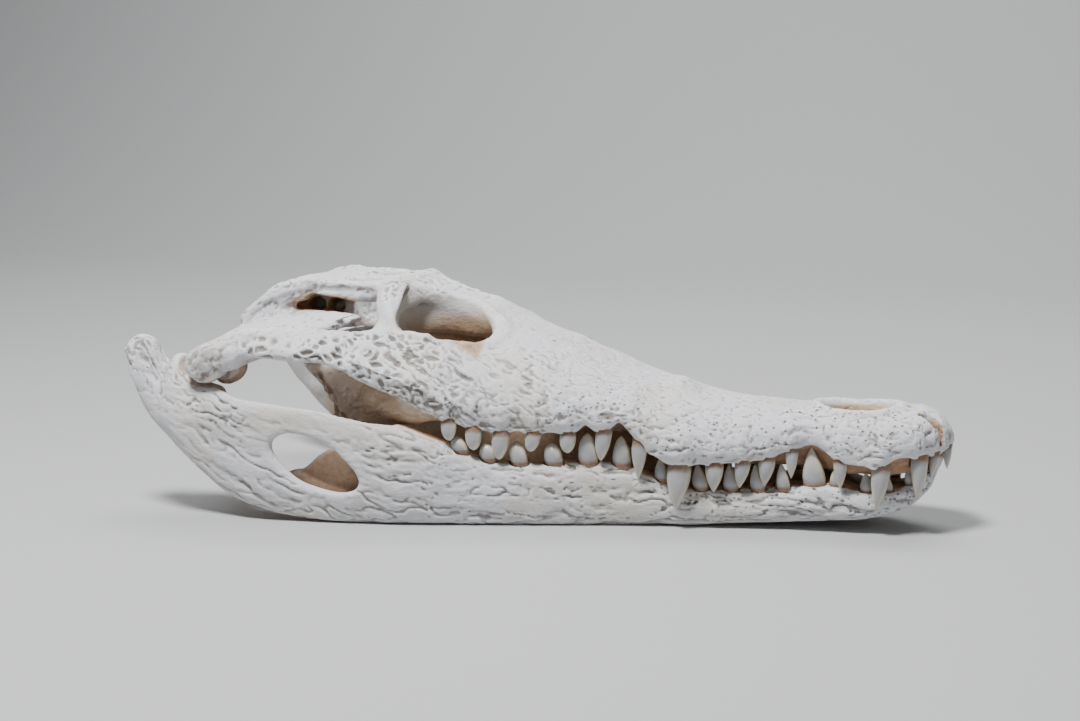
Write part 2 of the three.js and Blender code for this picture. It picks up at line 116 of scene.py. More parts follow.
def blade(plane, s, edge_a, edge_b, thick, power=2.5):
    """Flat bar: middle + half the way from edge a to b * cos^(2/p) + half thick across * sin^(2/p)."""
    s = np.asarray(s, float)[:, None]
    sizes = [size(s) if callable(size) else size for size in (*edge_a, *edge_b, thick)]
    au, av, bu, bv, thick = sizes
    power = power(s) if callable(power) else power
    du, dv = (bu - au) / 2, (bv - av) / 2
    reach = np.hypot(du, dv)
    far, across = (np.sign(w) * np.abs(w) ** (2 / power) for w in (np.cos(AROUND), np.sin(AROUND)))
    u = (au + bu) / 2 + du * far - dv / reach * thick / 2 * across
    v = (av + bv) / 2 + dv * far + du / reach * thick / 2 * across
    return placed(plane, s, u, v)


def oval(plane, s, u, v, length, width, power=2.0, turn=0.0):
    """Superellipse rings: length along u turned by `turn`, width across it."""
    s = np.asarray(s, float)
    u, v, length, width = (size(s[:, None]) if callable(size) else size for size in (u, v, length, width))
    du, dv = np.cos(turn) * length / 2, np.sin(turn) * length / 2
    return blade(plane, s, (u - du, v - dv), (u + du, v + dv), width, power)


print("a ring has", len(AROUND), "points")

# %% [markdown]
# ## From profiles to solids
#
# Joining thirty bones with Booleans would leave knife-sharp creases where real bone
# flows together. So each solid becomes a level set, a box of voxels holding the
# distance to its surface, and a soft minimum joins two of them with a fillet.
# Cutting is the same sum with the sign turned. Both sides of a skull are alike, so
# only the left half is joined.

# %% Solids
STEP = 1.0  # edge of a voxel
BAND = 9  # voxels on each side of a surface that know their distance


def closed(rings):
    """A closed skin: quads between neighbouring rings and a fan to the middle of each end ring."""
    count, around = rings.shape[:2]
    points = np.vstack([rings.reshape(-1, 3), rings[0].mean(0), rings[-1].mean(0)])
    i, j = np.meshgrid(np.arange(count - 1) * around, np.arange(around), indexing="ij")
    k = (j + 1) % around
    quads = np.stack([i + j, i + k, i + k + around, i + j + around], -1).reshape(-1, 4)
    j, k = j[0], k[0]
    middle = np.full(around, len(points) - 2)
    last = (count - 1) * around
    ends = [np.stack([k, j, middle], 1), np.stack([last + j, last + k, middle + 1], 1)]
    return points, quads, np.vstack(ends)


def level(rings):
    """The solid inside the rings as voxels: its lowest corner and the distances outside it."""
    points, quads, triangles = closed(rings)
    grid = openvdb.FloatGrid.createLevelSetFromPolygons(
        points.astype(np.float32), triangles.astype(np.uint32), quads.astype(np.uint32),
        openvdb.createLinearTransform(voxelSize=STEP), BAND)
    low, high = grid.evalActiveVoxelBoundingBox()
    outside = np.full(np.array(high) - low + 1, BAND * STEP, np.float32)
    grid.copyToArray(outside, ijk=low)
    return np.array(low), outside


def soft_least(a, b, soft):
    """The smaller of two distances, less overlap^2 / 4 soft where they nearly agree: a fillet."""
    overlap = np.maximum(soft - np.abs(a - b), 0)
    return np.minimum(a, b) - overlap * overlap / (4 * soft)


class Body:
    """Bone in the making: a box of voxels that know how far outside the bone they are."""

    def __init__(self, low, high):
        """An empty box between two corners, which are given in whole voxels."""
        self.low = np.array(low)
        self.outside = np.full(np.array(high) - low + 1, BAND * STEP, np.float32)

    def shared(self, low, shape):
        """The stretch that a smaller box shares with this one: its slices here and there."""
        first = np.maximum(self.low, low)
        end = np.minimum(self.low + self.outside.shape, low + shape)
        here = tuple(slice(a, b) for a, b in zip(first - self.low, end - self.low))
        there = tuple(slice(a, b) for a, b in zip(first - low, end - low))
        return here, there

    def add(self, rings, soft=4.0):
        """Joins a solid, given as rings or as another body, with a fillet of about `soft` mm."""
        low, outside = level(rings) if isinstance(rings, np.ndarray) else (rings.low, rings.outside)
        here, there = self.shared(low, outside.shape)
        self.outside[here] = soft_least(self.outside[here], outside[there], soft)
        return self

    def cut(self, rings, soft=2.0):
        """Takes the solid inside the rings away and rounds the edge that this leaves."""
        low, outside = level(rings)
        here, there = self.shared(low, outside.shape)
        self.outside[here] = -soft_least(-self.outside[here], outside[there], soft)
        return self


print("distances reach", BAND * STEP, "mm from a surface")

# %% [markdown]
# ## The teeth's places
#
# Where a tooth stands, the edge of the jaw swells down around its root, and between
# two upper teeth it arches up over the lower one. So the tables of teeth come first,
# and the jaws' edges are worked out from them. A row is one tooth: its place along
# the skull, its distance inside the outer face, its length and its width.

# %% Tables of teeth
UPPER_TEETH = np.array([
    [249.5, 5.5, 14, 5], [243.5, 3.6, 15, 5.5], [235, 1.5, 27, 10], [214, 2, 27, 11], [190, 3, 17, 8],
    [161, 4, 18, 7.5], [147, 4, 18, 9.5], [133, 4.5, 17, 9.5], [116.5, 4, 18, 11], [96.5, 5, 28, 14],
    [72.5, 4, 23, 9], [51.5, 5.5, 19.5, 10], [30.5, 6, 13, 9.5], [10.5, 6, 12.5, 9.5],
    [-8.5, 6, 17.5, 10.5], [-24.5, 6, 13.5, 9.5], [-39, 6.5, 13, 9.5],
])
LOWER_TEETH = np.array([
    [229, 6, 12, 5.5], [217, 6, 11, 6], [205, 6, 11, 7], [187, 6.5, 11, 7], [174, 6.5, 22, 12.5],
    [156, 6, 15, 7.5], [141, 6.5, 15, 8], [125, 7, 15, 8.5], [107, 7.5, 15, 8.5], [84, 8, 14, 8],
    [60.5, 8, 17, 10.5], [41, 8, 17.5, 11], [21, 8.5, 12, 10.5], [1, 9, 13, 10], [-17, 9, 10, 9],
    [-33, 9, 8.5, 9],
])


def festoon(x, teeth, share, reach):
    """One bump per tooth: the sum of share * width * exp(-((x - tooth) / (reach * width))^2)."""
    place, width = teeth[:, 0], teeth[:, 3]
    return (share * width * swelling(np.asarray(x)[..., None], place, reach * width)).sum(-1)


print(2 * len(UPPER_TEETH), "upper teeth and", 2 * len(LOWER_TEETH) + 2, "lower teeth")

# %% [markdown]
# ## The face
#
# Snout, brow and cheeks are one vault of bone, open below behind the snout. Its
# cross-section is a strip across the top and two sides, each a superellipse whose
# power changes along the skull: over 2 the side bulges, as on the snout, and under
# 1 it is hollow, as behind the eyes. First come its measures, one course for each.

# %% Measures of the face
WALL = 9.0  # thickness of its bone
WIDEST_AT = 0.14  # share of the height at which the face is widest
FACE = (-94.0, 252.0)  # from behind the eyes to the snout tip


def face_half(x):
    """Half-width of the face at x."""
    return course(
        (-97, 101), (-65, 94), (-42, 87), (10, 72), (63, 58), (121, 46.5), (165, 36),
        (211, 36), (229, 30.5), (241, 21.5), (248, 13), (252, 5.5),
    )(x) + swelling(x, 95, 15, 3.5) - swelling(x, 172, 10, 5)


face_top = course(
    (-97, 143.5), (-75, 138.5), (-60, 134), (-40, 127.5), (-19, 118), (8, 108), (34, 98), (60, 88),
    (82, 82), (124, 74), (160, 73), (232, 74.5), (244, 70.5), (250, 64), (252, 59))
face_margin = course(
    (-97, 93.5), (-82, 86), (-65, 78), (-42, 66.5), (-25, 60), (-8, 58), (28, 58), (63, 60.5),
    (80, 46), (98, 40.5), (121, 41.5), (146, 44.5), (172, 52.5), (190, 45), (211, 42.5),
    (226, 49), (241, 49), (252, 54))
face_palate = course(
    (-97, 96), (-65, 86), (-42, 74), (-20, 64), (40, 61), (58, 55), (76, 46), (90, 41), (121, 38),
    (165, 37.5), (188, 35), (216, 35), (230, 37.5), (240, 44), (252, 54))
face_strip = course((-97, 38), (-85, 24), (-65, 15), (-28, 11), (20, 5), (250, 3))
face_roundness = course(
    (-97, 0.62), (-85, 0.75), (-65, 1.14), (-45, 1.44), (-28, 1.5), (10, 1.85), (60, 2.1), (250, 2.3))
print("the snout is", 2 * face_half(165).round(), "mm wide half-way and", face_top(165).round(), "mm high")

# %% [markdown]
# ## The vault and its lip
#
# A box stretched by hand would need a cut at every station. Here the whole vault is
# one grid of points: its first parameter runs along the skull, its second round the
# section, and the lip's waves are added to the low points only. The hollow behind
# the snout is the same surface again, set in by the thickness of the wall.

# %% The vault of the face
LIP_REACH = 13.0  # how far up the side the lip's waves fade out


def lip_wave(x):
    """How far the lip rises at x: down at each upper tooth and arched over each lower one."""
    deep = festoon(x, LOWER_TEETH[10:12], 0.36, 0.36) + festoon(x, LOWER_TEETH, 0.07, 0.4)
    return (deep - festoon(x, UPPER_TEETH, 0.15, 0.6)) * smooth(x, -50, -40)


def face_side(x, z):
    """Half-width of the face's outer surface at a place x and a height z: cos^p where sin^p is the rise."""
    low, top, power = face_margin(x), face_top(x), 2 / face_roundness(x)
    rise = np.clip((z - low - WIDEST_AT * (top - low)) / ((1 - WIDEST_AT) * (top - low)), 0, 1)
    strip = np.minimum(face_strip(x), face_half(x) * 0.6)
    return strip + (face_half(x) - strip) * np.sqrt(1 - rise ** (2 / power)) ** power


def vault(stations, inset=0.0, floor=None):
    """Rings of the face: palate, then y = strip + (half - strip) cos^p, z = widest + rise sin^p."""
    x = np.asarray(stations, float)[:, None]
    half, top, margin = face_half(x) - inset, face_top(x) - inset, face_margin(x)
    low = margin if floor is None else floor(x)
    widest = np.maximum(margin + WIDEST_AT * (face_top(x) - margin), low + 0.2 * (top - low))
    strip = np.minimum(face_strip(x), half * 0.6)
    power = 2 / face_roundness(x)
    share = np.linspace(0, 0.97, 20)
    middle = face_palate(x) if floor is None else low
    palate = low + (middle - low) * (1 - smooth(share, 0.55, 0.8))
    angle = np.linspace(0, np.pi / 2, 30)
    side_y = strip + (half - strip) * np.cos(angle) ** power
    side_z = widest + (top - widest) * np.sin(angle) ** power
    y = np.hstack([half * share, side_y, strip * np.linspace(0.75, 0, 4)])
    z = np.hstack([palate + 0 * half, side_z, top + 0 * strip * np.ones(4)])
    if floor is None:
        wave = lip_wave(x[:, 0])[:, None] * smooth(z, margin + LIP_REACH, margin)
        z = z + wave * smooth(y, 0.5 * half, 0.9 * half)
    left, right = np.stack([x + 0 * y, y, z], -1), np.stack([x + 0 * y, -y, z], -1)
    return np.concatenate([left, right[:, -2:0:-1]], axis=1)


print("a section of the vault has", vault([0.0]).shape[1], "points")

# %% [markdown]
# ## Openings of the face
#
# The face has an eye socket, a nose opening, a long hole in the palate and a small
# one at the tip, where the first lower tooth comes through. Each is an oval cutter
# that narrows or widens with the depth. A Boolean would leave its edge sharp, and
# subtracting it from the voxels rounds the edge as bone is rounded.

# %% Openings of the face
ORBIT = {"x": -56, "y": 40, "z": 123, "length": 61, "width": 46, "lean": 0.42, "depth": 50}
PALATE_HOLE = {"x": -30, "y": 38, "length": 96, "width": 40}
NOSTRIL = {"x": 196, "length": 44, "width": 34, "floor": 55}
TIP_HOLE = {"x": 240, "y": 13, "length": 14, "width": 5.5}


def along(start, end, spacing=3.0):
    """Evenly spaced stations from start to end."""
    return np.linspace(start, end, int(abs(end - start) / spacing) + 2)


def tilted(rings, centre, lean):
    """Rings built round the z axis, leaned by an angle towards +Y and set down at a centre."""
    x, y, z = np.moveaxis(rings, -1, 0)
    c, s = np.cos(lean), np.sin(lean)
    return np.stack([x + centre[0], y * c + z * s + centre[1], z * c - y * s + centre[2]], -1)


def eye_socket():
    """An oval cutter for the socket, leaning outwards and widening upwards."""
    height = along(-ORBIT["depth"], ORBIT["depth"] / 2)
    scale = course((-ORBIT["depth"], 0.92), (0, 1), (ORBIT["depth"] / 2, 1.25))
    rings = oval("z", height, 0, 0, lambda h: ORBIT["length"] * scale(h), lambda h: ORBIT["width"] * scale(h))
    return tilted(rings, (ORBIT["x"], ORBIT["y"], ORBIT["z"]), ORBIT["lean"])


def face_body():
    """The vault, less the hollow behind the snout and the openings in it."""
    front = np.concatenate([along(FACE[0], 240, 2.0), [243, 246, 248, 249.5, 250.6, 251.4, FACE[1]]])
    face = Body((-101, 0, 30), (258, 116, 152)).add(vault(front), 0.1)
    taper = course((-54, 0), (-38, 5), (-18, 9), (6, 24))
    floor = course((-110, 20), (-50, 20), (-36, 72), (6, 74))
    hollow = np.concatenate([[-112], along(-97, 6)])
    face.cut(vault(hollow, WALL + taper(hollow)[:, None], floor), 7)
    face.cut(eye_socket(), 4)
    palate = along(40, 90)
    face.cut(oval("z", palate, PALATE_HOLE["x"], PALATE_HOLE["y"], PALATE_HOLE["length"],
                  PALATE_HOLE["width"]), 4)
    shrink = course((NOSTRIL["floor"], 0.15), (57, 0.45), (63, 0.78), (74, 1), (90, 1.3))
    face.cut(oval("z", along(NOSTRIL["floor"], 90, 1.5), NOSTRIL["x"], 0,
                  lambda z: NOSTRIL["length"] * shrink(z), lambda z: NOSTRIL["width"] * shrink(z)), 4)
    face.cut(oval("z", along(54, 80), TIP_HOLE["x"], TIP_HOLE["y"], TIP_HOLE["length"], TIP_HOLE["width"]), 2)
    return face


face = face_body()
print("face:", face.outside.shape, "voxels")

# %% [markdown]
# ## The back of the skull
#
# Behind the eyes the skull opens into arches. The flat roof, the brain's box, the
# horns, the plates that carry the jaw joints, the cheek arches and the wings of the
# palate are each one profile on one path. They could be sculpted as a single lump,
# but as separate courses each keeps the measure that an anatomist would give it.

# %% Roof, brain's box and rear wall
ROOF_HOLE = {"x": -114, "y": 22, "length": 30, "width": 18}
SPINE_HOLE = {"z": 114, "width": 15, "height": 12}
EAR_POCKETS = {"z": 123, "height": 11.5, "places": ((-139.5, 10.5), (-152.5, 12.5))}  # x and length of each
roof_half = course((-174, 46), (-160, 47.5), (-130, 44), (-100, 39), (-84, 24))
roof_top = course(
    (-174, 136), (-162, 141), (-150, 143.5), (-135, 143.5), (-110, 143), (-95, 143.5), (-84, 139))
roof_thick = course((-174, 9), (-150, 11), (-125, 15), (-84, 16))


def roof():
    """The flat roof, with its two holes, the groove along its edge and the ear's pockets."""
    x = along(-174, -84)
    table = oval("x", x, 0, lambda s: roof_top(s) - roof_thick(s) / 2, lambda s: 2 * roof_half(s),
                 roof_thick, 4.5)
    body = Body((-212, 0, 50), (-60, 116, 156)).add(table, 0.1)
    half = course((-170, 24), (-150, 23), (-120, 17), (-92, 13))
    low = course((-170, 88), (-140, 84), (-115, 92), (-92, 108))
    body.add(oval("x", along(-170, -92), 0, lambda s: (138 + low(s)) / 2, lambda s: 2 * half(s),
                  lambda s: 138 - low(s), 3.2), 5)
    height = along(118, 155)
    widen = course((118, 0.72), (138, 0.94), (146, 1.08), (155, 1.4))
    body.cut(oval("z", height, ROOF_HOLE["x"], ROOF_HOLE["y"], lambda s: ROOF_HOLE["length"] * widen(s),
                  lambda s: ROOF_HOLE["width"] * widen(s)), 4)
    groove_z = course((-163, 139.5), (-150, 139.5), (-124, 137.5), (-95, 133))
    groove_y = course((-163, 51), (-150, 49.5), (-130, 47.5), (-97, 43))
    body.cut(oval("x", along(-166, -96), groove_y, groove_z, 8.5, course((-166, 2), (-150, 6), (-96, 3))), 3)
    for place, length in EAR_POCKETS["places"]:
        body.cut(oval("y", along(9, 34), place, EAR_POCKETS["z"], length, EAR_POCKETS["height"]), 2)
    return body


def rear_wall():
    """The wall behind the brain's box, with the ball of the neck joint and the spinal opening."""
    half = course((60, 15), (75, 19), (92, 24), (108, 40), (122, 50), (140, 46))
    rear = course((60, -146), (72, -158), (84, -168), (108, -174), (125, -178), (140, -170))
    front = course((60, -132), (75, -138), (92, -142), (108, -158), (125, -162), (140, -154))
    wall = oval("z", along(56, 140), lambda z: (rear(z) + front(z)) / 2, 0, lambda z: 2 * half(z),
                lambda z: front(z) - rear(z), 3, np.pi / 2)
    body = Body((-212, 0, 40), (-110, 116, 156)).add(wall, 0.1)
    ball = course((-182, 0.5), (-180, 5.5), (-176, 9), (-170, 10.4), (-160, 11))
    body.add(oval("x", along(-182, -160, 1.5), 0, 98, lambda s: 2 * ball(s), lambda s: 2 * ball(s)), 3)
    body.cut(oval("x", along(-192, -150), 0, SPINE_HOLE["z"], SPINE_HOLE["width"], SPINE_HOLE["height"]), 3)
    return body


print("the roof is", 2 * roof_half(-160), "mm wide at the rear")

# %% [markdown]
# ## From the roof to the jaw's joint
#
# At each rear corner the roof runs out into a horn, and the plate below it sweeps
# back to the roller on which the lower jaw turns. The cheek arch comes back to the
# same place. All four are long, flattened bones, so each is one profile on a path,
# given by two edges that the profile spans.

# %% Horn, joint plate and cheek arch


def horn():
    """The rear corner of the roof, curving down and out to the joint plate."""
    y = course((-191, 51), (-178, 49.5), (-150, 42))
    z = course((-191, 117), (-178, 125), (-165, 132), (-150, 135))
    thick = course((-191, 7), (-186, 11), (-170, 13), (-150, 10))
    return oval("x", along(-191, -150), y, z, thick, lambda s: thick(s) * 1.1)


def joint_plate():
    """The plate that sweeps out and back to the rounded end on which the lower jaw turns."""
    front = (course((20, -130), (48, -110), (62, -115), (80, -130), (90, -142), (98, -160), (106, -168)),
             course((20, 112), (42, 119), (50, 120), (62, 118), (80, 113.5), (98, 104), (106, 101)))
    rear = (course((20, -166), (42, -183), (60, -189), (80, -198), (98, -204), (107, -200)),
            course((20, 118), (42, 118.5), (60, 112), (80, 104), (98, 96.5), (107, 95)))
    thick = course((20, 10), (48, 10), (62, 11), (80, 14), (98, 17), (107, 13))
    return blade("y", along(20, 106), rear, front, thick)


cheek_high = (course((-190, 101), (-172, 98), (-160, 96), (-133, 87), (-108, 75), (-92, 66), (-60, 61)),
              course((-190, 104), (-172, 113), (-160, 116.5), (-133, 116), (-92, 114), (-60, 112)))
cheek_low = (course((-190, 106), (-160, 107), (-133, 107), (-112, 103), (-94, 96), (-60, 85)),
             course((-190, 92), (-172, 97), (-160, 101.5), (-118, 101), (-97, 93.5), (-82, 86), (-60, 76)))


def roller():
    """The rounded end of the joint plate, waisted in the middle like a spool."""
    y = along(73, 109, 2)
    size = course((73, 12), (77, 18), (84, 19), (91, 16.5), (98, 20), (104, 20.5), (107, 17), (109, 11))
    return oval("y", y, -190.5, course((73, 97), (109, 93.5)), lambda s: size(s) * 1.15, size)


def inner_knuckle():
    """The lower, inner end of the joint plate, beside the roller."""
    y = along(72, 92, 2)
    long = course((72, 12), (77, 21), (86, 24), (92, 16))
    return oval("y", y, course((72, -186), (92, -182)), 91.5, long, lambda s: 0.9 * long(s), 2.2, 0.5)


def cheek_arch():
    """The arch from under the eye socket back to the jaw joint."""
    return blade("x", along(-190, -60), cheek_high, cheek_low, course((-190, 9), (-110, 9.5), (-60, 9)), 3)


print("the roller is", np.ptp(roller()[..., 1]).round(1), "mm long")

# %% [markdown]
# ## Round the eye
#
# A round bar closes the socket behind, a thin keel runs forward between the eyes
# under the brow, and a crest hangs from the brow on the socket's inner side. They
# are slender, so they could be swept curves, but as profiles on a path they get the
# same fillets as the rest.

# %% Bar, keel and crest

def eye_bar():
    """The round bar behind the eye socket, from the roof down to the cheek."""
    y = course((104, 70), (114, 62.5), (124, 54), (132, 45), (139, 35))
    x = course((104, -87), (116, -88), (128, -90.5), (139, -94))
    wide = course((104, 28), (111, 14), (120, 12), (130, 16), (139, 18))
    return oval("z", along(104, 139), x, y, wide, course((104, 11), (120, 9.5), (130, 11), (139, 9)))


def keel():
    """The thin keel that runs forward from the brain's box between the eyes."""
    tall = course((-104, 22), (-84, 12), (-46, 7), (-24, 4))
    return oval("x", along(-104, -24), 0, course((-104, 112), (-24, 98)), course((-104, 9), (-24, 4)), tall)


def brow_crest():
    """The crest that hangs from the brow along the inner side of each eye socket."""
    low, high = course((-98, 108), (-60, 108), (-24, 104)), course((-98, 134), (-60, 128), (-24, 112))
    y = course((-98, 17), (-60, 13), (-24, 16))
    return blade("x", along(-98, -24), (y, low), (lambda x: y(x) + 3, high), 5)


print("points round the eye:", sum(part().size // 3 for part in (eye_bar, keel, brow_crest)))

# %% [markdown]
# ## Palate, wings and webs
#
# From the palate a broad wing slants down inside the lower jaw on each side. A web
# ties it to the brain's box, and a sheet with a torn rear edge ties it to the cheek.
# These are thin plates, and the rings of a plate are only very flat ovals.

# %% Palate, wings and webs

def palate_bar():
    """The bar of palate bone between the two long palate holes."""
    half = course((-100, 20), (-80, 13), (-40, 10), (0, 16), (20, 24))
    return oval("x", along(-100, 20), 0, 70, lambda s: 2 * half(s), 17, 2.6)


def palate_wing():
    """The broad wing that slants down from the palate inside the lower jaw, round at its end."""
    front, rear = (course((6, -74), (30, -80), (50, -84), (60, -90), (66, -98)),
                   course((6, -146), (30, -138), (50, -128), (60, -118), (66, -106)))
    height = course((6, 66), (25, 61), (50, 47), (60, 40), (66, 36))
    return blade("y", along(0, 66), (rear, height), (front, lambda y: height(y) + 1),
                 course((6, 9), (50, 7), (60, 7), (66, 5)), 2)


def palate_web():
    """The web from the brain's box down to the wing, hollow towards the side."""
    y = course((50, 56), (70, 47), (90, 31), (112, 20))
    front = course((50, -84), (70, -88), (90, -96), (112, -104))
    rear = course((50, -114), (70, -120), (90, -130), (112, -142))
    return blade("z", along(50, 112), (rear, y), (front, y), 7)


# the torn edge of the cheek's inner sheet, by height: where it is sideways and how far back
sheet_y = course((42, 57), (60, 62), (75, 66), (88, 66), (97, 60))
sheet_rear = course((42, -108), (62, -118), (75, -125), (87, -132), (93, -141), (97, -145))


def cheek_sheet():
    """The sheet of bone from the cheek down to the edge of the wing, ragged along its rear edge."""
    front = course((42, -88), (55, -78), (68, -58), (76, -52), (97, -70))
    flare = lambda z: sheet_y(z) + smooth(z, 50, 72) * 14
    return blade("z", along(42, 97), (sheet_rear, sheet_y), (front, flare), 7)


def cheek_root():
    """The foot of that sheet, spreading on to the inner face of the cheek."""
    y, z = course((-92, 70), (-66, 76), (-42, 76)), course((-92, 76), (-66, 70), (-42, 72))
    return oval("x", along(-92, -42), y, z, 12, course((-92, 10), (-66, 18), (-42, 14)))


print("a wing has", len(palate_wing()), "rings")

# %% [markdown]
# ## Splinters, and the whole cranium
#
# In the temple opening three thin splinters of bone stand free. Each is a cone on a
# bowed line. With them the list of bones is complete, and the list also says how
# wide the fillet is where each one joins.

# %% Splinters and the whole cranium

def spine(base, tip, thick):
    """A thin splinter of bone from a base to a tip, its thickness falling to a tenth."""
    t = np.linspace(0, 1, 14)[:, None]
    middle = np.array(base) * (1 - t) + np.array(tip) * t
    middle[:, 2] += 1.5 * (4 * t * (1 - t))[:, 0]
    radius = thick / 2 * (1 - 0.85 * t)
    ring = np.stack([0 * AROUND, 1.7 * np.cos(AROUND), 0.8 * np.sin(AROUND)], -1)
    return middle[:, None] + radius[..., None] * ring


SPINES = (((-126, 66, 117), (-101, 59, 125), 4.6), ((-129, 70, 114), (-110, 66, 118.5), 4.2),
          ((-118, 66, 113), (-99, 62, 116.5), 4.0))


def cranium_body():
    """Every bone of the cranium's left half, joined with fillets about as wide as the real ones."""
    body = Body((-212, 0, 8), (258, 116, 152)).add(face, 0.1).add(roof(), 7).add(rear_wall(), 4)
    for part, soft in ((horn, 9), (joint_plate, 7), (roller, 5), (inner_knuckle, 4), (cheek_arch, 8),
                       (eye_bar, 7), (keel, 4), (brow_crest, 5), (palate_bar, 8), (palate_wing, 8),
                       (palate_web, 9), (cheek_sheet, 9), (cheek_root, 9)):
        body.add(part(), soft)
    for base, tip, thick in SPINES:
        body.add(spine(base, tip, thick), 1.0)
    return body


cranium = cranium_body()
print("cranium:", cranium.outside.shape, "voxels")

# %% [markdown]
# ## The lower jaw
#
# Each half is one long bar: deep at the window, low at the front, where the halves
# meet and turn up, and drawn out behind the joint into a lever for the muscle that
# opens the mouth. Behind the teeth it is hollow, open above and on the inner side,
# and an oval window pierces its outer wall.

# %% Half of the lower jaw
JAW = (-248.0, 246.5)
JAW_WALL = 7.0
JAW_WINDOW = {"x": -118, "z": 37, "length": 58, "height": 27, "slope": -0.44}
CHIN_GAP = 0.15  # each half stops this far from the middle plane, so that the seam stays open
OVERHEAD = 110  # a height above the trough, from which the cutters come down

jaw_outer = course(
    (-248, 99), (-230, 103), (-205, 109), (-165, 110), (-110, 104), (-66, 95), (-43, 88), (-9, 77),
    (14, 69.5), (49, 58), (72, 51.5), (95, 45.5), (137, 36.5), (178, 31), (205, 28.5), (225, 22),
    (236, 15), (243, 9.5), (246.5, 6))
jaw_inner = course(
    (-248, 92), (-230, 86), (-207, 76), (-190, 84), (-165, 90), (-110, 86), (-66, 75), (-43, 67),
    (-9, 55), (14, 48), (49, 37), (95, 24), (137, 11), (163, CHIN_GAP), (246.5, CHIN_GAP))
jaw_top = course(
    (-248, 104), (-246.5, 107.5), (-243, 110), (-239, 110.7), (-234, 109.5), (-230, 105.5), (-226, 97),
    (-222, 92.5), (-218, 98), (-214, 99), (-209, 91), (-200, 83.5), (-188, 82), (-165, 78), (-125, 73.5),
    (-89, 66.5), (-65, 59.5), (-53, 54.5), (-36, 47.5), (-19, 41.5), (4, 38.8), (50, 39.5), (62, 38),
    (74, 33), (90, 27), (106, 24), (140, 24.5), (161, 26.5), (178, 29), (188, 29), (198, 26.5), (218, 27),
    (230, 31), (240, 40), (246.5, 48))
jaw_low = course(
    (-248, 100), (-243, 85), (-233, 63), (-208, 39), (-179, 15), (-145, 4.5), (-119, 1), (-85, 0),
    (60, 0), (143, 2.5), (195, 7.5), (218, 12.5), (232, 18), (239, 26), (243, 35), (246.5, 44))
jaw_lean = course((-248, 4), (-215, 5), (-190, 0))


def jaw_edge(x):
    """The edge that carries the lower teeth, a little higher at each one."""
    return jaw_top(x) + festoon(x, LOWER_TEETH, 0.16, 0.5) - 0.8 * smooth(x, -46, -30) * smooth(x, 244, 236)


def jaw_bar():
    """The full bar: a superellipse of power 2.9 between the courses, its foot leaning outwards."""
    x = np.concatenate([along(JAW[0], -196, 1.5), along(-194, 224, 2.5), along(226, JAW[1], 1.5)])
    ring = oval("x", x, 0, 0, lambda s: jaw_outer(s) - jaw_inner(s), lambda s: jaw_edge(s) - jaw_low(s),
                course((-248, 2), (-225, 2.2), (-200, 2.9)))
    s = x[:, None]
    reach = (jaw_edge(s) - jaw_low(s)) / 2
    ring[..., 1] += (jaw_outer(s) + jaw_inner(s)) / 2 - jaw_lean(s) * ring[..., 2] / reach
    ring[..., 2] += (jaw_edge(s) + jaw_low(s)) / 2
    return ring


def jaw_body():
    """The bar, less its trough, the open inner side, the window and the joint's cup."""
    body = Body((-254, -3, -4), (252, 118, 116)).add(jaw_bar(), 0.1)
    outer, inner = (lambda s: jaw_outer(s) - JAW_WALL), (lambda s: jaw_inner(s) + JAW_WALL - 2)
    fade = course((-180, 0.1), (-175, 0.6), (-167, 1), (-90, 1), (-74, 0.3))
    floor = lambda s: jaw_low(s) + 8 + 46 * smooth(s, -168, -190) + 26 * smooth(s, -92, -74)
    body.cut(oval("x", along(-180, -74), lambda s: (outer(s) + inner(s)) / 2,
                  lambda s: (floor(s) + OVERHEAD) / 2, lambda s: (outer(s) - inner(s)) * fade(s),
                  lambda s: OVERHEAD - floor(s), 3.2), 6)
    edge = course((-184, 60), (-176, 34), (-160, 22), (-140, 28), (-120, 42), (-95, 56), (-80, 66))
    middle = lambda s: (edge(s) + OVERHEAD) / 2
    body.cut(blade("x", along(-180, -86), (70, middle), (lambda s: jaw_inner(s) + 8, middle),
                   lambda s: OVERHEAD - edge(s), 4), 5)
    body.cut(oval("y", along(92, 125), JAW_WINDOW["x"], JAW_WINDOW["z"], JAW_WINDOW["length"],
                  lambda y: JAW_WINDOW["height"] * (1 + 0.012 * (y - 105)), 1.9, JAW_WINDOW["slope"]), 5)
    return body


jaw = jaw_body()
print("half of the jaw:", jaw.outside.shape, "voxels")

# %% [markdown]
# ## Teeth and their sockets
#
# A crocodile's tooth is a slightly curved cone with two fine keels, fore and aft,
# and faint flutes. A lathe would make every one the same and perfectly round, so
# each is a surface of two parameters instead, the way up the tooth and the way
# round it, with its own twist and wear. The ring of bone round each root is cut
# back a little first, so that every tooth stands in a real socket.

# %% Teeth
UP_STEPS, ROUND_STEPS = 30, 28
ROOT_SHARE = 0.3  # length hidden in the socket, as a share of the tooth's length
LIP_THICK = 1.2  # least bone outside a root
KEEL_HEIGHT, FLUTE_HEIGHT, RING_HEIGHT = 0.07, 0.014, 0.012  # shares of the radius
FLUTES = 11
FIRST_LOWER = {"root": (241, 8.5, 40), "tip": (244.1, 10.5, 66), "width": 5.4, "length": 26}


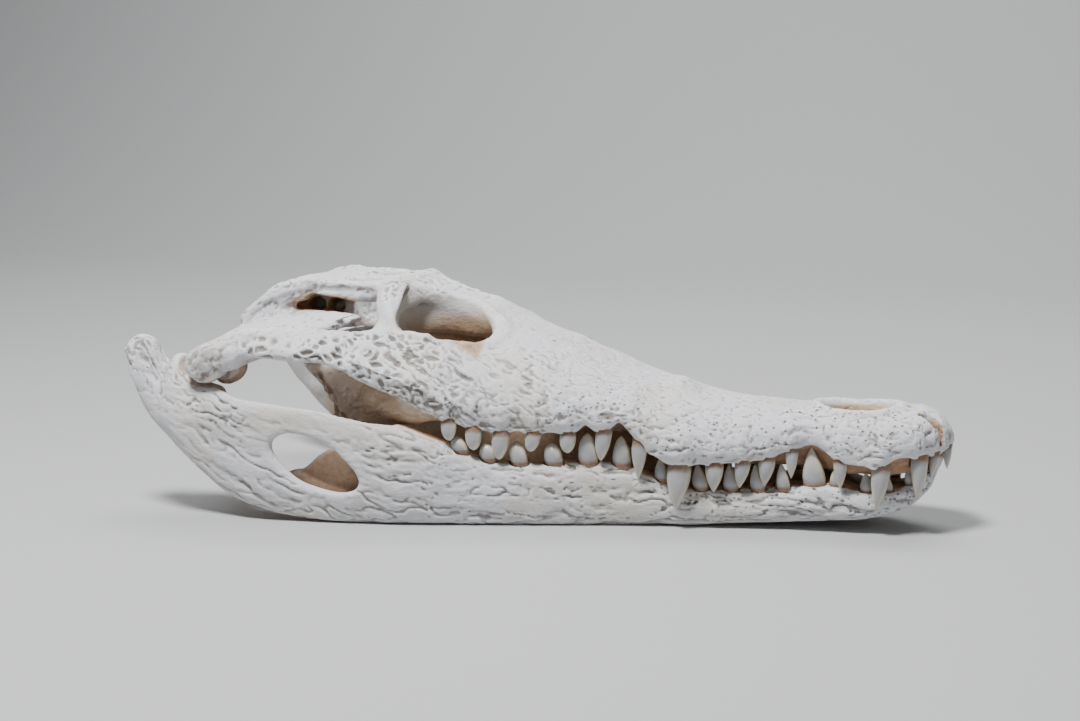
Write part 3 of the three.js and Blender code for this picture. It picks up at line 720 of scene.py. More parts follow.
def tooth(root, tip, width, blunt, turn):
    """Radius = width / 2 * girth(t) * (1 + keels + flutes + rings) about a line bowed out by 4 t (1 - t)."""
    t = np.linspace(-ROOT_SHARE, 1, UP_STEPS)[:, None]
    a = np.linspace(0, 2 * np.pi, ROUND_STEPS, endpoint=False)[None]
    girth = course((-0.3, 0.98), (0.0, 1.02), (0.15, 1.01), (0.35, 0.93 + 0.05 * blunt),
                   (0.6, 0.7 + 0.18 * blunt), (0.8, 0.42 + 0.24 * blunt), (0.93, 0.19 + 0.2 * blunt),
                   (1, 0.03))(t)
    crown = smooth(t, 0.05, 0.3)
    keels = KEEL_HEIGHT * crown * np.abs(np.cos(a + turn)) ** 14
    flutes = FLUTE_HEIGHT * crown * np.cos(FLUTES * a + 3 * turn)
    rings = RING_HEIGHT * np.cos(34 * t + 9 * turn) * smooth(t, 0.45, 0.1)
    radius = width / 2 * girth * (1 + keels + flutes + rings)
    middle = np.array(root) + (np.array(tip) - np.array(root)) * t
    middle[:, 1:2] += np.sign(root[1]) * 4 * t * (1 - t)
    middle[:, 0:1] -= 0.035 * width * smooth(t, 0.4, 1)
    ring = np.stack([radius * np.cos(a), 0.9 * radius * np.sin(a), 0 * radius], -1)
    return middle[:, None] + ring, t + 0 * a


def upper_places(side):
    """Root and tip of each upper tooth: on the lip, `inside` the outer face and hanging down."""
    x, inside, length, width = UPPER_TEETH.T
    inside = np.maximum(inside, width / 2 + LIP_THICK)
    y, gum = face_half(x) - inside, face_margin(x) + lip_wave(x) + 0.5
    lean = 1.2 * np.sin(x * 1.7 + side)
    roots = np.stack([x, side * y, gum], 1)
    splay = 0.6 * np.maximum(width - 9, 0)
    tips = np.stack([x - 0.5 + lean, side * (y + 0.4 * lean + splay), face_margin(x) - length], 1)
    return roots, tips, width, length


def lower_places(side):
    """Root and tip of each lower tooth, standing up from the jaw's edge, and the first of all."""
    x, inside, length, width = LOWER_TEETH.T
    inside, width = np.maximum(inside, width / 2 + LIP_THICK), 1.08 * width
    y, gum = jaw_outer(x) - inside, jaw_top(x) - 0.5
    lean = 1.0 * np.sin(x * 1.3 + 2 * side)
    roots, tips = np.stack([x, side * y, gum], 1), np.stack([x - 1 + lean, side * y, gum + length], 1)
    first = np.array([1, side, 1])
    roots = np.vstack([roots, FIRST_LOWER["root"] * first])
    tips = np.vstack([tips, FIRST_LOWER["tip"] * first])
    return roots, tips, np.append(width, FIRST_LOWER["width"]), np.append(length, FIRST_LOWER["length"])


def tooth_row(places):
    """All teeth of a row, one array of rings each, with how far up each ring is."""
    roots, tips, widths, lengths = places
    blunt = np.clip(2.2 - lengths / widths, 0, 1) ** 0.5 * smooth(roots[:, 0], 90, 40)
    turns = np.sin(roots[:, 0] * 2.3 + roots[:, 1])
    return [tooth(*one) for one in zip(roots, tips, widths, blunt, turns)]


def sockets(body, roots, widths, up):
    """Cuts a shallow cup round each root, a little wider than the tooth itself."""
    for root, width in zip(roots, widths):
        height = np.linspace(-1.6, 6, 6)[:, None, None]
        radius = width / 2 + 0.3 + 0.1 * np.maximum(height, 0)
        ring = np.stack([np.cos(AROUND), 0.92 * np.sin(AROUND), 0 * AROUND], -1)
        middle = np.array(root) + height[:, 0] * [0, 0, up]
        body.cut(middle[:, None] + radius * ring, 1.2)


upper_roots, _, upper_widths, _ = upper_places(1)
sockets(cranium, upper_roots, upper_widths, -1)
lower_roots, _, lower_widths, _ = lower_places(1)
sockets(jaw, lower_roots[:-1], lower_widths[:-1], 1)
print("sockets cut:", len(upper_roots), "above and", len(lower_roots) - 1, "below, on each side")

# %% [markdown]
# ## From voxels to skin
#
# A net of quads is stretched where the distance crosses zero. Its points are then
# moved along their own normals to carve what is smaller than a voxel can hold:
# pits, wrinkles and low swellings. Doing it on the points keeps the voxels coarse
# and quick, and it leaves real shape in the mesh, where a bump map would only
# pretend.

# %% Skin, normals and volume
CREVICE_RISE = 0.22  # neighbours this much higher, in mm, count as a full hollow


def mirrored(body):
    """Both halves of a body whose first voxel layer is the middle plane."""
    whole = Body(body.low, body.low)
    whole.outside = np.concatenate([body.outside[:, :0:-1], body.outside], axis=1)
    whole.low = body.low - [0, body.outside.shape[1] - 1, 0]
    return whole


def skin(body, side=1):
    """Points and outward quads where the body's distance is 0, mirrored if side is -1, in mm."""
    grid = openvdb.FloatGrid(BAND * STEP)
    grid.copyFromArray(body.outside, tuple(int(v) for v in body.low))
    grid.transform = openvdb.createLinearTransform(voxelSize=STEP)
    points, quads = grid.convertToQuads()
    points, quads = points.astype(float), quads.astype(np.int64)
    if side < 0:
        points[:, 1] *= -1
        quads = quads[:, ::-1]
    return points, quads


def normals(points, quads):
    """Each point's normal: the sum of its quads' diagonal cross products, at unit length."""
    a, b, c, d = (points[quads[:, k]] for k in range(4))
    facing = np.cross(c - a, d - b)
    total = [np.bincount(quads.ravel(), np.repeat(facing[:, k], 4), len(points)) for k in range(3)]
    total = np.stack(total, 1)
    return total / np.maximum(np.linalg.norm(total, axis=1, keepdims=True), 1e-9)


def crevice(points, quads, facing, rounds=2):
    """0.5 on flat skin, up to 1 in a hollow and down to 0 on a ridge: the neighbours' mean rise."""
    pairs = np.concatenate([quads[:, [k, (k + 1) % 4]] for k in range(4)])
    pairs = np.concatenate([pairs, pairs[:, ::-1]])
    here, there = pairs.T
    count = np.bincount(here, minlength=len(points))
    rise = np.bincount(here, ((points[there] - points[here]) * facing[here]).sum(1), len(points)) / count
    for _ in range(rounds):
        rise = (rise + np.bincount(here, rise[there], len(points)) / count) / 2
    return np.clip(0.5 + rise / CREVICE_RISE, 0, 1)


def folded(points):
    """x, distance from the middle plane and z of each point."""
    return points[:, 0], np.abs(points[:, 1]), points[:, 2]


def sideways(points, normal):
    """How squarely the skin faces away from the middle plane: 1 outwards and -1 inwards."""
    return normal[:, 1] * np.sign(points[:, 1])


def volume(points, quads):
    """Enclosed volume in mm3: a sixth of the sum of a . (b x c) over both triangles of every quad."""
    a, b, c, d = (points[quads[:, k]] for k in range(4))
    return ((a * np.cross(b, c)).sum() + (a * np.cross(c, d)).sum()) / 6


cranium = mirrored(cranium)
cranium_points, cranium_quads = skin(cranium)
print("cranium:", len(cranium_quads), "quads,", round(volume(cranium_points, cranium_quads) / 1000), "cm3")

# %% [markdown]
# ## Chance that stays put
#
# Pits and wrinkles look random, yet the same skull has to come out on every run.
# So nothing is drawn from a dice: each cell of space mixes its own coordinates into
# a number, and noise is a smooth blend of the numbers of neighbouring cells.

# %% Repeatable noise


def scatter(cell, seed):
    """A number from 0 to 1 for each whole-numbered cell, by multiplying and shifting its bits."""
    x, y, z = (cell[..., k].astype(np.int64).astype(np.uint64) for k in range(3))
    mixed = (x * np.uint64(0x9E3779B1)) ^ (y * np.uint64(0x85EBCA77)) ^ (z * np.uint64(0xC2B2AE3D))
    mixed = mixed + np.uint64(seed * 668265263)
    for shift, factor in ((15, 0x85EBCA6B), (13, 0xC2B2AE35), (16, 1)):
        mixed = ((mixed & np.uint64(0xFFFFFFFF)) ^ ((mixed & np.uint64(0xFFFFFFFF)) >> np.uint64(shift)))
        mixed = mixed * np.uint64(factor)
    return (mixed & np.uint64(0xFFFFFF)) / float(1 << 24)


def ripple(points, size, seed, octaves=1):
    """Smooth noise from -1 to 1: corners of cells of `size` mm blended, each octave half as big."""
    total, weight = 0, 0
    for octave in range(octaves):
        at = points / (size / 2 ** octave)
        cell = np.floor(at)
        t = at - cell
        t = t * t * (3 - 2 * t)
        for corner in np.ndindex(2, 2, 2):
            share = np.prod(np.where(corner, t, 1 - t), axis=-1)
            total = total + share * (2 * scatter(cell + corner, seed + octave) - 1) / 2 ** octave
        weight += 1 / 2 ** octave
    return total / weight


def stirred(points, *swirls):
    """Points pushed about by noise: how far, over what size and with which seed, for each swirl."""
    moved = points
    for far, size, seed in swirls:
        moved = moved + far * np.stack([ripple(points, size, seed + axis) for axis in range(3)], 1)
    return moved


def cells(points, size, seed):
    """Distances to the nearest and second nearest of one stray centre per cell, and its chance."""
    at = points / size
    cell = np.floor(at)
    first, second = np.full(len(at), 9.0), np.full(len(at), 9.0)
    luck = np.zeros(len(at))
    for step in np.ndindex(3, 3, 3):
        near = cell + step - 1
        centre = near + np.stack([scatter(near, seed + k) for k in range(3)], -1)
        away = np.linalg.norm(centre - at, axis=1)
        closer = away < first
        second = np.where(closer, first, np.minimum(second, away))
        luck = np.where(closer, scatter(near, seed + 3), luck)
        first = np.where(closer, away, first)
    return first, second, luck


def turned(points, slope):
    """Points turned in the side view so that the first axis follows a slope: radians, up towards +X."""
    c, s = np.cos(slope), np.sin(slope)
    x, y, z = points.T
    return np.stack([x * c + z * s, y, z * c - x * s], 1)


print("noise at two cells:", scatter(np.array([[0, 0, 0], [1, 0, 0]]), 1).round(3))

# %% [markdown]
# ## Swellings and strokes
#
# Bone is never as even as its courses. Each low swelling, hollow, ridge or groove
# is a Gaussian in space round a place or along a line, and it pushes the skin along
# its normal by so many millimetres. A sculptor would do it with a soft brush; as a
# table, every stroke has a place and a height.

# %% Low relief of the cranium


def lumps(points, table):
    """Sum over the rows a, b, c, p, q, r, height of a table, with the middle a, b, c and the reach p, q, r:

    height * exp(-((x - a) / p)^2 - ((|y| - b) / q)^2 - ((z - c) / r)^2)
    """
    x, y, z = folded(points)
    total = np.zeros(len(points))
    for a, b, c, p, q, r, height in table:
        total += height * np.exp(-(((x - a) / p) ** 2) - ((y - b) / q) ** 2 - ((z - c) / r) ** 2)
    return total


def stroke(points, path, width):
    """exp(-(d / width)^2), where d is the distance in the side view to a line through (x, z) stops."""
    at = points[:, [0, 2]]
    nearest = np.full(len(at), 1e9)
    for start, end in zip(np.array(path[:-1], float), np.array(path[1:], float)):
        way = end - start
        t = np.clip((at - start) @ way / (way @ way), 0, 1)[:, None]
        nearest = np.minimum(nearest, np.linalg.norm(at - start - t * way, axis=1))
    return np.exp(-((nearest / width) ** 2))


CRANIUM_LUMPS = [
    (87, 0, 84, 9, 17, 10, 4.6),  # boss half-way along the snout
    (130, 0, 75, 16, 16, 8, 0.8),
    (-57, 0, 134, 30, 9, 10, -1.8),  # the brow is hollow between the eyes
    (-22, 26, 118, 26, 8, 9, 2.0),  # ridge in front of each eye socket
    (18, 17, 103, 24, 8, 8, 1.3),
    (-16, 50, 109, 12, 9, 4.5, -1.8),  # tear-duct hollow
    (-4, 46, 108, 12, 9, 4, 0.8),
    (-60, 90, 101, 34, 12, 7, -1.6),  # hollow of the cheek under the socket
    (-128, 0, 147, 34, 22, 8, -1.6),  # the roof sags in the middle
    (-120, 40, 146, 34, 5, 6, 1.0),
    (96, 47, 52, 12, 12, 12, 1.2),  # swelling over the biggest tooth
    (228, 26, 60, 9, 9, 10, 1.0),
    (-180, 92, 98, 14, 12, 10, 1.0),
    (-196, 78, 100, 8, 8, 12, -2.4),  # the joint's roller is waisted
    (-177, 104, 94, 3, 9, 6, -0.9),
    (-157, 99, 112, 9, 8, 2.4, -2.2),  # long pits of the cheek's rear plate
    (-139, 96, 109, 5, 8, 2.0, -1.4),
    (-168, 101, 107, 4, 8, 1.8, -1.1),
]
ROOF_GROOVE = ((-190, 111), (-178, 123), (-165, 130.5), (-150, 135.5), (-128, 138.5), (-106, 137.5))


def ragged(points):
    """1 along the torn rear edge of the cheek's inner sheet, fading out until 8 mm from it."""
    x, y, z = folded(points)
    away = np.hypot(x - sheet_rear(z), 0.5 * (y - sheet_y(z)))
    return smooth(away, 8, 2.5) * smooth(z, 40, 48) * smooth(z, 101, 96)


def cranium_relief(points, normal):
    """Swellings, raised rims round the openings and the roots that show through the lip."""
    x, y, z = points.T
    relief = lumps(points, CRANIUM_LUMPS)
    rim = np.hypot((x - NOSTRIL["x"]) / (NOSTRIL["length"] / 2), y / (NOSTRIL["width"] / 2))
    relief += 2.2 * swelling(rim, 1.16, 0.16) * (z > 66)
    c, s = np.cos(ORBIT["lean"]), np.sin(ORBIT["lean"])
    across = (np.abs(y) - ORBIT["y"]) * c - (z - ORBIT["z"]) * s
    rim = np.hypot((x - ORBIT["x"]) / (ORBIT["length"] / 2), across / (ORBIT["width"] / 2))
    relief += 1.5 * swelling(rim, 1.2, 0.13) * smooth(z, 104, 112) * smooth(normal[:, 2], 0.0, 0.3)
    above = z - face_margin(x)
    roots = festoon(x, UPPER_TEETH, 0.13, 0.5) * swelling(above, 8, 8) * smooth(x, -50, -40)
    relief += roots * smooth(np.abs(normal[:, 1]), 0.35, 0.7) * (np.abs(y) > 0.75 * face_half(x))
    relief += 0.9 * ripple(points, 32, 3) + 0.7 * ripple(points, 13, 5) + 0.25 * ripple(points, 5, 7)
    groove_depth = 1.3 * stroke(points, ROOF_GROOVE, 2.2) * smooth(sideways(points, normal), 0.2, 0.5)
    relief -= groove_depth * smooth(np.abs(y), 38, 42)
    relief += ragged(points) * (2.4 * ripple(points, 7, 8) + 1.8 * ripple(points, 3.2, 9))
    return relief


normal = normals(cranium_points, cranium_quads)
cranium_points = cranium_points + normal * cranium_relief(cranium_points, normal)[:, None]
print("cranium swells by", np.ptp(cranium_points, axis=0).round(1), "mm in all")

# %% [markdown]
# ## Pits, furrows and wrinkles
#
# The skin of a crocodile's head is fused to the bone, and the bone shows it in
# pits, cracks and grooves. A pit is the neighbourhood of a stray centre, so cellular
# noise draws it. A crack is where smooth noise crosses zero, and a valley is where
# it is low. Stretching and turning the space first makes grooves that run along the
# bone. Each pattern gives a depth from 0 to 1, and its size is in millimetres.

# %% Patterns


def crater(points, size, seed, share=0.75):
    """Depth from 0 to 1 of round pits: deepest at stray centres, with a sharp rim between them."""
    first, second, luck = cells(points, size, seed)
    wide = 0.30 + 0.22 * luck
    return smooth(first, wide, wide * 0.35) * smooth(second - first, 0.02, 0.25) * (luck < share)


def net(points, size, seed):
    """Depth from 0 to 1 of crowded pits with thin ridges between them, some deep and some shallow."""
    first, second, luck = cells(points, size, seed)
    return smooth(second - first, 0.0, 0.52) * smooth(first, 0.85, 0.3) * (0.15 + 1.1 * luck ** 1.3)


def furrow(points, size, seed):
    """Depth from 0 to 1 of fine cracks: where smooth noise crosses zero."""
    return smooth(np.abs(ripple(points, size, seed, 2)), 0.16, 0.0)


def valleys(points, size, seed, slope, stretch):
    """Depth from 0 to 1 of long wavy grooves along a slope: the low places of stretched noise."""
    height = ripple(turned(points, slope) * [1 / stretch, 1, 1], size, seed, 3)
    return smooth(height, 0.02, -0.72)


def flow_lines(points, size, seed, slope, stretch):
    """Depth from 0 to 1 of long thin grooves that follow a slope and break off here and there."""
    lie = turned(points, slope) * [1 / stretch, 1, 1]
    return furrow(lie, size, seed) * smooth(ripple(lie, 1.3 * size, seed + 1), -0.3, 0.1)


def groove(points, size, seed, slope, stretch, share):
    """Depth from 0 to 1 of scattered grooves along a slope, longer than wide, tapering at both ends."""
    first, _, luck = cells(turned(points, slope) * [1 / stretch, 1, 1], size, seed)
    wide = 0.22 + 0.22 * luck
    return smooth(first, wide, 0.3 * wide) * (luck < share)


print("deepest point of a groove:", groove(cranium_points[:1000], 5, 1, 0.2, 3, 1).max().round(2))

# %% [markdown]
# ## The cranium's ornament
#
# Round pits crowd the cheek and stretch into furrows towards the teeth. Behind the
# eyes the bone is streaked, on the roof and the brow it is finely pitted, and on the
# snout it has small holes and cracks. So every region has a mask with soft edges and
# its own patterns, and the depths are simply added. Noise moves the points a little
# first, or the patterns would look machined.

# %% Ornament of the cranium
STRIA_SLOPE = -0.6  # radians: the cheek's furrows run forwards and down
REAR_SLOPE, LIP_SLOPE = 0.5, 0.05  # radians: the streaks of the horn rise forwards, those of the lip hardly


def cheek_ornament(x, y, z, lateral, warped):
    """The cheek's mask and its depth: round pits that turn into slanting furrows towards the teeth."""
    behind = smooth(x, -174, -160) * smooth(x, -4, -46)
    cheek = lateral * behind * smooth(z, 117, 111) * smooth(y, cheek_high[0](x) - 4, cheek_high[0](x) + 2)
    cheek *= smooth(z, np.minimum(cheek_low[1](x), face_margin(x)) - 6, face_margin(x) - 1)
    strong, forward = 0.62 + 0.5 * swelling(x, -92, 42), smooth(x, -84, -46)
    round_pits = 3.5 * net(warped * [0.9, 1, 1.1], 6.2, 31) * (1 - 0.7 * forward)
    slanting = turned(warped, STRIA_SLOPE) * [0.34, 1, 1]
    depth = cheek * strong * (round_pits + 0.8 * crater(warped, 3.6, 41, 0.7))
    depth += cheek * 1.2 * net(slanting, 4.0, 51) * smooth(x, -104, -70)
    depth += cheek * 1.3 * flow_lines(warped, 5.0, 57, STRIA_SLOPE, 3.5) * smooth(x, -112, -80)
    side = lateral * smooth(x, -80, -44) * smooth(x, 46, 4) * smooth(z, 110, 98)
    depth += side * (0.8 * net(slanting, 4.6, 53) + 0.6 * crater(slanting, 3.6, 55, 0.6))
    depth += side * 0.9 * flow_lines(warped, 5.5, 59, STRIA_SLOPE, 3.5)
    return cheek, depth


def rear_ornament(x, y, z, streaked, warped):
    """Streaks on the bone behind the eyes, left out deep in the gap, and short ones at the jaw's joint."""
    rear = smooth(x, -50, -90) * streaked
    rear *= 1 - smooth(x, -100, -94) * smooth(y, 62, 55) * smooth(z, 134, 127)
    depth = rear * (0.95 * valleys(warped, 3.8, 89, REAR_SLOPE, 4) + 0.2 * net(warped, 3.2, 90))
    depth += rear * (0.8 * groove(warped, 3.4, 92, REAR_SLOPE, 3.5, 0.5)
                     + 0.7 * flow_lines(warped, 5, 94, REAR_SLOPE, 4))
    joint = smooth(x, -168, -178) * smooth(z, 108, 100) * smooth(y, 70, 76)
    return depth + joint * (0.8 * valleys(warped, 3.2, 86, 1.2, 3) + 0.4 * valleys(warped, 2.6, 88, 0.2, 3))


def top_ornament(x, z, up, bar, warped):
    """Fine pits of the roof and the brow, where the skin faces up, and holes and cracks of the snout."""
    table = smooth(up, 0.45, 0.75) * smooth(z, 128, 136)
    depth = table * (0.95 * net(warped, 5.5, 61) + 0.4 * crater(warped, 3.4, 63, 0.6))
    brow = (1 - 0.8 * bar) * smooth(x, -100, -80) * smooth(x, 16, -20) * smooth(z, 100, 108)
    brow *= smooth(up, 0.15, 0.5)
    depth += brow * (0.5 * net(warped, 4.6, 71) + 0.3 * furrow(warped, 5, 73))
    snout = smooth(x, -20, 20) * smooth(up, -0.3, 0.1)
    depth += snout * (0.6 * furrow(warped * [0.5, 1, 1], 6, 81) + 0.7 * crater(warped, 4.6, 83, 0.5))
    return depth + snout * 0.45 * net(warped * [0.6, 1, 1], 3.6, 84)


def lip_ornament(x, z, lateral, warped):
    """Long valleys and stretched holes in the band of bone above the upper teeth."""
    band = smooth(z - face_margin(x), 26, 12) * lateral * smooth(x, -60, -40)
    lengthwise = turned(warped, LIP_SLOPE) * [0.28, 1, 1]
    return band * (1.2 * valleys(warped, 3.8, 85, LIP_SLOPE, 4) + crater(lengthwise, 3.6, 87, 0.5))


def cranium_ornament(points, normal):
    """Depth of the ornament in mm: for each region, its mask times the sum of its patterns."""
    x, y, z = folded(points)
    up, outward = normal[:, 2], sideways(points, normal)
    lateral = smooth(outward, 0.1, 0.45)
    warped = stirred(points, (2.6, 8, 21), (0.9, 3.2, 27))
    bar = smooth(np.hypot((x + 89) / 12, (z - 119) / 15), 1.3, 0.8) * smooth(y, 38, 46)  # it is smooth
    cheek, depth = cheek_ornament(x, y, z, lateral, warped)
    streaked = (1 - cheek) * smooth(np.maximum(outward, up), 0.0, 0.4) * (1 - 0.75 * bar)
    depth += rear_ornament(x, y, z, streaked, warped)
    depth += top_ornament(x, z, up, bar, warped)
    return depth + lip_ornament(x, z, lateral, warped)


ornament = cranium_ornament(cranium_points, normal)
normal = normals(cranium_points, cranium_quads)
cranium_points = cranium_points - normal * ornament[:, None]
print("ornament: deepest", round(ornament.max(), 2), "mm, mean", round(ornament.mean(), 2), "mm")

# %% [markdown]
# ## The lower jaw's surface
#
# On the jaw the furrows run lengthwise and wander: deep wrinkles at the back, where
# the big closing muscle pulled, long broken channels round the window and along the
# lower edge, and rows of small holes for nerves beside the teeth. Each region again
# has its mask and its patterns. The left and the right half get different chances,
# because no animal is its own mirror image.

# %% Ornament of the jaw
ASIDE = 400  # mm by which the noise of the two halves is shifted apart
WRINKLE_SLOPE, JAW_SLOPE, KNOB_SLOPE = -0.32, -0.5, -1.0  # radians, forwards and down
JAW_LUMPS = [
    (-243, 97, 104, 7, 8, 8, 1.6),  # knob at the very back
    (-228, 97, 84, 9, 9, 12, -1.6),
    (-206, 104, 88, 7, 9, 8, 1.2),  # rim of the joint's cup
    (-150, 112, 68, 34, 8, 7, 1.1),
    (-150, 112, 45, 26, 8, 9, -0.9),
    (-74, 94, 40, 18, 9, 12, 1.0),
    (-30, 80, 22, 46, 9, 9, 0.9),
    (112, 38, 12, 46, 9, 7, 0.8),
    (176, 30, 18, 14, 8, 10, 1.2),
]


def jaw_relief(points, side):
    """Low swellings of the jaw and the slow waves along its faces."""
    away = points + [0, ASIDE * side, 0]
    return lumps(points, JAW_LUMPS) + ripple(away, 30, 13) + 0.6 * ripple(away * [0.5, 1, 1], 10, 15)


def jaw_ornament(points, normal, side):
    """Depth of the jaw's wrinkles, channels and holes in mm."""
    x, y, z = folded(points)
    outward = sideways(points, normal)
    warped = stirred(points + [0, ASIDE * side, 0], (2.4, 14, 24), (0.8, 4, 34))
    inner_wall = smooth(jaw_outer(x) - y, 9, 12) * smooth(x, -202, -194)
    lateral = smooth(outward, 0.1, 0.5) * (1 - inner_wall)
    from_line = np.abs(z - (83 - 0.36 * (x + 222)))
    wrinkled = lateral * smooth(x, -230, -218) * smooth(x, -150, -176) * smooth(from_line, 12, 6)
    depth = wrinkled * (2.6 * valleys(warped, 4.4, 91, WRINKLE_SLOPE, 3.4)
                        + 1.5 * groove(warped, 3.0, 93, WRINKLE_SLOPE, 4, 0.8))
    depth += wrinkled * 1.6 * flow_lines(warped, 4.2, 111, WRINKLE_SLOPE, 3.5)
    angle = lateral * smooth(x, -232, -212) * smooth(x, -60, -110) * smooth(z, 66, 50)
    depth += angle * (1.5 * valleys(warped, 6.0, 95, JAW_SLOPE, 8)
                      + 1.2 * flow_lines(warped, 6.5, 97, JAW_SLOPE, 8))
    front = lateral * smooth(x, -108, -80)
    for slope, where, more in ((-0.2, smooth(x, -10, -50), 0), (-0.04, smooth(x, -50, -10), 20)):
        lines = (1.4 * valleys(warped, 4.8, 113 + more, slope, 8)
                 + 1.3 * flow_lines(warped, 5.5, 115 + more, slope, 9))
        depth += front * where * (lines + 1.2 * groove(warped, 3.1, 117 + more, slope, 7, 0.45))
    depth += lateral * 0.7 * valleys(warped, 2.5, 104, -0.12, 7)
    beside_teeth = lateral * smooth(x, 40, 90) * smooth(jaw_top(x) - z, 20, 12)
    depth += beside_teeth * 1.8 * crater(warped, 3.4, 121, 0.4)
    tip = smooth(x, 190, 215) * lateral
    depth += tip * 0.8 * crater(warped, 4.2, 103, 0.5)
    knob = smooth(x, -212, -224) * smooth(z, 70, 84)
    depth += knob * (2.2 * valleys(warped, 3.6, 105, KNOB_SLOPE, 4)
                     + 0.9 * groove(warped, 2.8, 109, KNOB_SLOPE, 4, 0.6))
    depth += knob * flow_lines(warped, 4.0, 119, KNOB_SLOPE, 4)
    depth += smooth(normal[:, 2], -0.4, -0.8) * 0.3 * furrow(warped * [0.4, 1, 1], 7, 107)
    return depth


jaw_skins, jaw_depths = {}, {}
for side in (1, -1):
    points, quads = skin(jaw, side)
    points = points + normals(points, quads) * jaw_relief(points, side)[:, None]
    facing = normals(points, quads)
    jaw_depths[side] = jaw_ornament(points, facing, side)
    points = points - facing * jaw_depths[side][:, None]
    points[:, 2] = np.maximum(points[:, 2], 0.05)
    jaw_skins[side] = points, quads
print("each half of the jaw:", len(quads), "quads")

# %% [markdown]
# ## Where dirt and shade gather
#
# Old bone is whitest where hands and sun reach it. In hollows and sockets it keeps
# the brown of dried gristle, and there the brown is also painted shade, deepened where
# little light reaches. How enclosed a place is can be read from the voxels: count how
# much bone lies in the space just in front of the skin.

# %% Enclosure
COARSE = 4  # voxels per coarse cell
LOOK, LOOK_SIZE = (-262, -124, -12), (528, 248, 176)  # low corner and size of the coarse box
LOOK_OUT = (10, 20)  # how far in front of the skin bone is looked for


def flipped(body):
    """The same body on the other side of the middle plane."""
    other = Body(body.low, body.low)
    other.outside = body.outside[:, ::-1]
    other.low = body.low * [1, -1, 1] - [0, body.outside.shape[1] - 1, 0]
    return other


def coarse_bone():
    """Which coarse cells hold bone, for the cranium and both halves of the jaw together."""
    bone = np.zeros(np.array(LOOK_SIZE) // COARSE, np.float32)
    for body in (cranium, jaw, flipped(jaw)):
        start = (-(body.low - LOOK)) % COARSE
        every = tuple(slice(first, None, COARSE) for first in start)
        inside = (body.outside[every] < 0).astype(np.float32)
        at = (body.low + start - LOOK) // COARSE
        place = tuple(slice(a, a + n) for a, n in zip(at, inside.shape))
        bone[place] = np.maximum(bone[place], inside)
    return bone


def blurred(block, reach):
    """The mean over a cube of 2 * reach + 1 cells, one axis after the other."""
    for axis in range(3):
        first, last = np.take(block, [0] * (reach + 1), axis), np.take(block, [-1] * reach, axis)
        total = np.cumsum(np.concatenate([first, block, last], axis), axis)
        width, count = 2 * reach + 1, block.shape[axis]
        ahead, behind = (np.take(total, range(start, start + count), axis) for start in (width, 0))
        block = (ahead - behind) / width
    return block


def sampled(block, points):
    """The value of a coarse block at points in mm, blended between the eight nearest cells."""
    at = (points - LOOK) / COARSE
    at = np.clip(at, 0, np.array(block.shape) - 1.001)
    cell = at.astype(int)
    t = at - cell
    total = 0
    for corner in np.ndindex(2, 2, 2):
        share = np.prod(np.where(corner, t, 1 - t), axis=-1)
        total = total + share * block[tuple((cell + corner).T)]
    return total


bone_share = blurred(coarse_bone(), 2)


def enclosure(points, facing):
    """0 in the open and 1 deep inside: the share of bone near and far out along the normal."""
    near, far = (sampled(bone_share, points + away * facing) for away in LOOK_OUT)
    return smooth(0.6 * near + 0.6 * far, 0.05, 0.55)


print("coarse cells of bone:", int(bone_share.sum()))

# %% [markdown]
# ## Into Blender
#
# Points and faces go into a mesh in one call each, and every measure that a
# material needs goes along as a point attribute. A Decimate modifier then takes
# triangles away where the bone is smooth and leaves them in the pits.

# %% Pieces
PIECE_LIMIT = 190_000  # triangles


def piece(name, points, faces, node, slot, material, **attributes):
    """A smooth mesh object in metres with float attributes, standing for a CAD node."""
    mesh = bpy.data.meshes.new(name)
    mesh.from_pydata(points * MM, [], faces)
    mesh.polygons.foreach_set("use_smooth", np.ones(len(mesh.polygons), bool))
    for title, values in attributes.items():
        layer = mesh.attributes.new(title, "FLOAT", "POINT")
        layer.data.foreach_set("value", np.asarray(values, np.float32))
    mesh.materials.append(material)
    thing = bpy.data.objects.new(name, mesh)
    bpy.context.scene.collection.objects.link(thing)
    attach(thing, "root")
    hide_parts(node)
    return thing


def lighten(thing):
    """Brings a piece under the limit with a Decimate modifier, and returns how many triangles it had."""
    count = sum(len(face.vertices) - 2 for face in thing.data.polygons)
    if count > PIECE_LIMIT:
        decimate = thing.modifiers.new("fewer triangles", "DECIMATE")
        decimate.ratio = PIECE_LIMIT / count
    return count


print("a piece may have", PIECE_LIMIT, "triangles")

# %% [markdown]
# ## Shader arithmetic
#
# A material is a sum too: noise plus depth, mixed into a colour. Placing every Math
# node by hand would hide that sum, so a small class lets a shader value be added,
# subtracted, multiplied and compared with an edge, and draws the nodes itself.

# %% A class for shader values


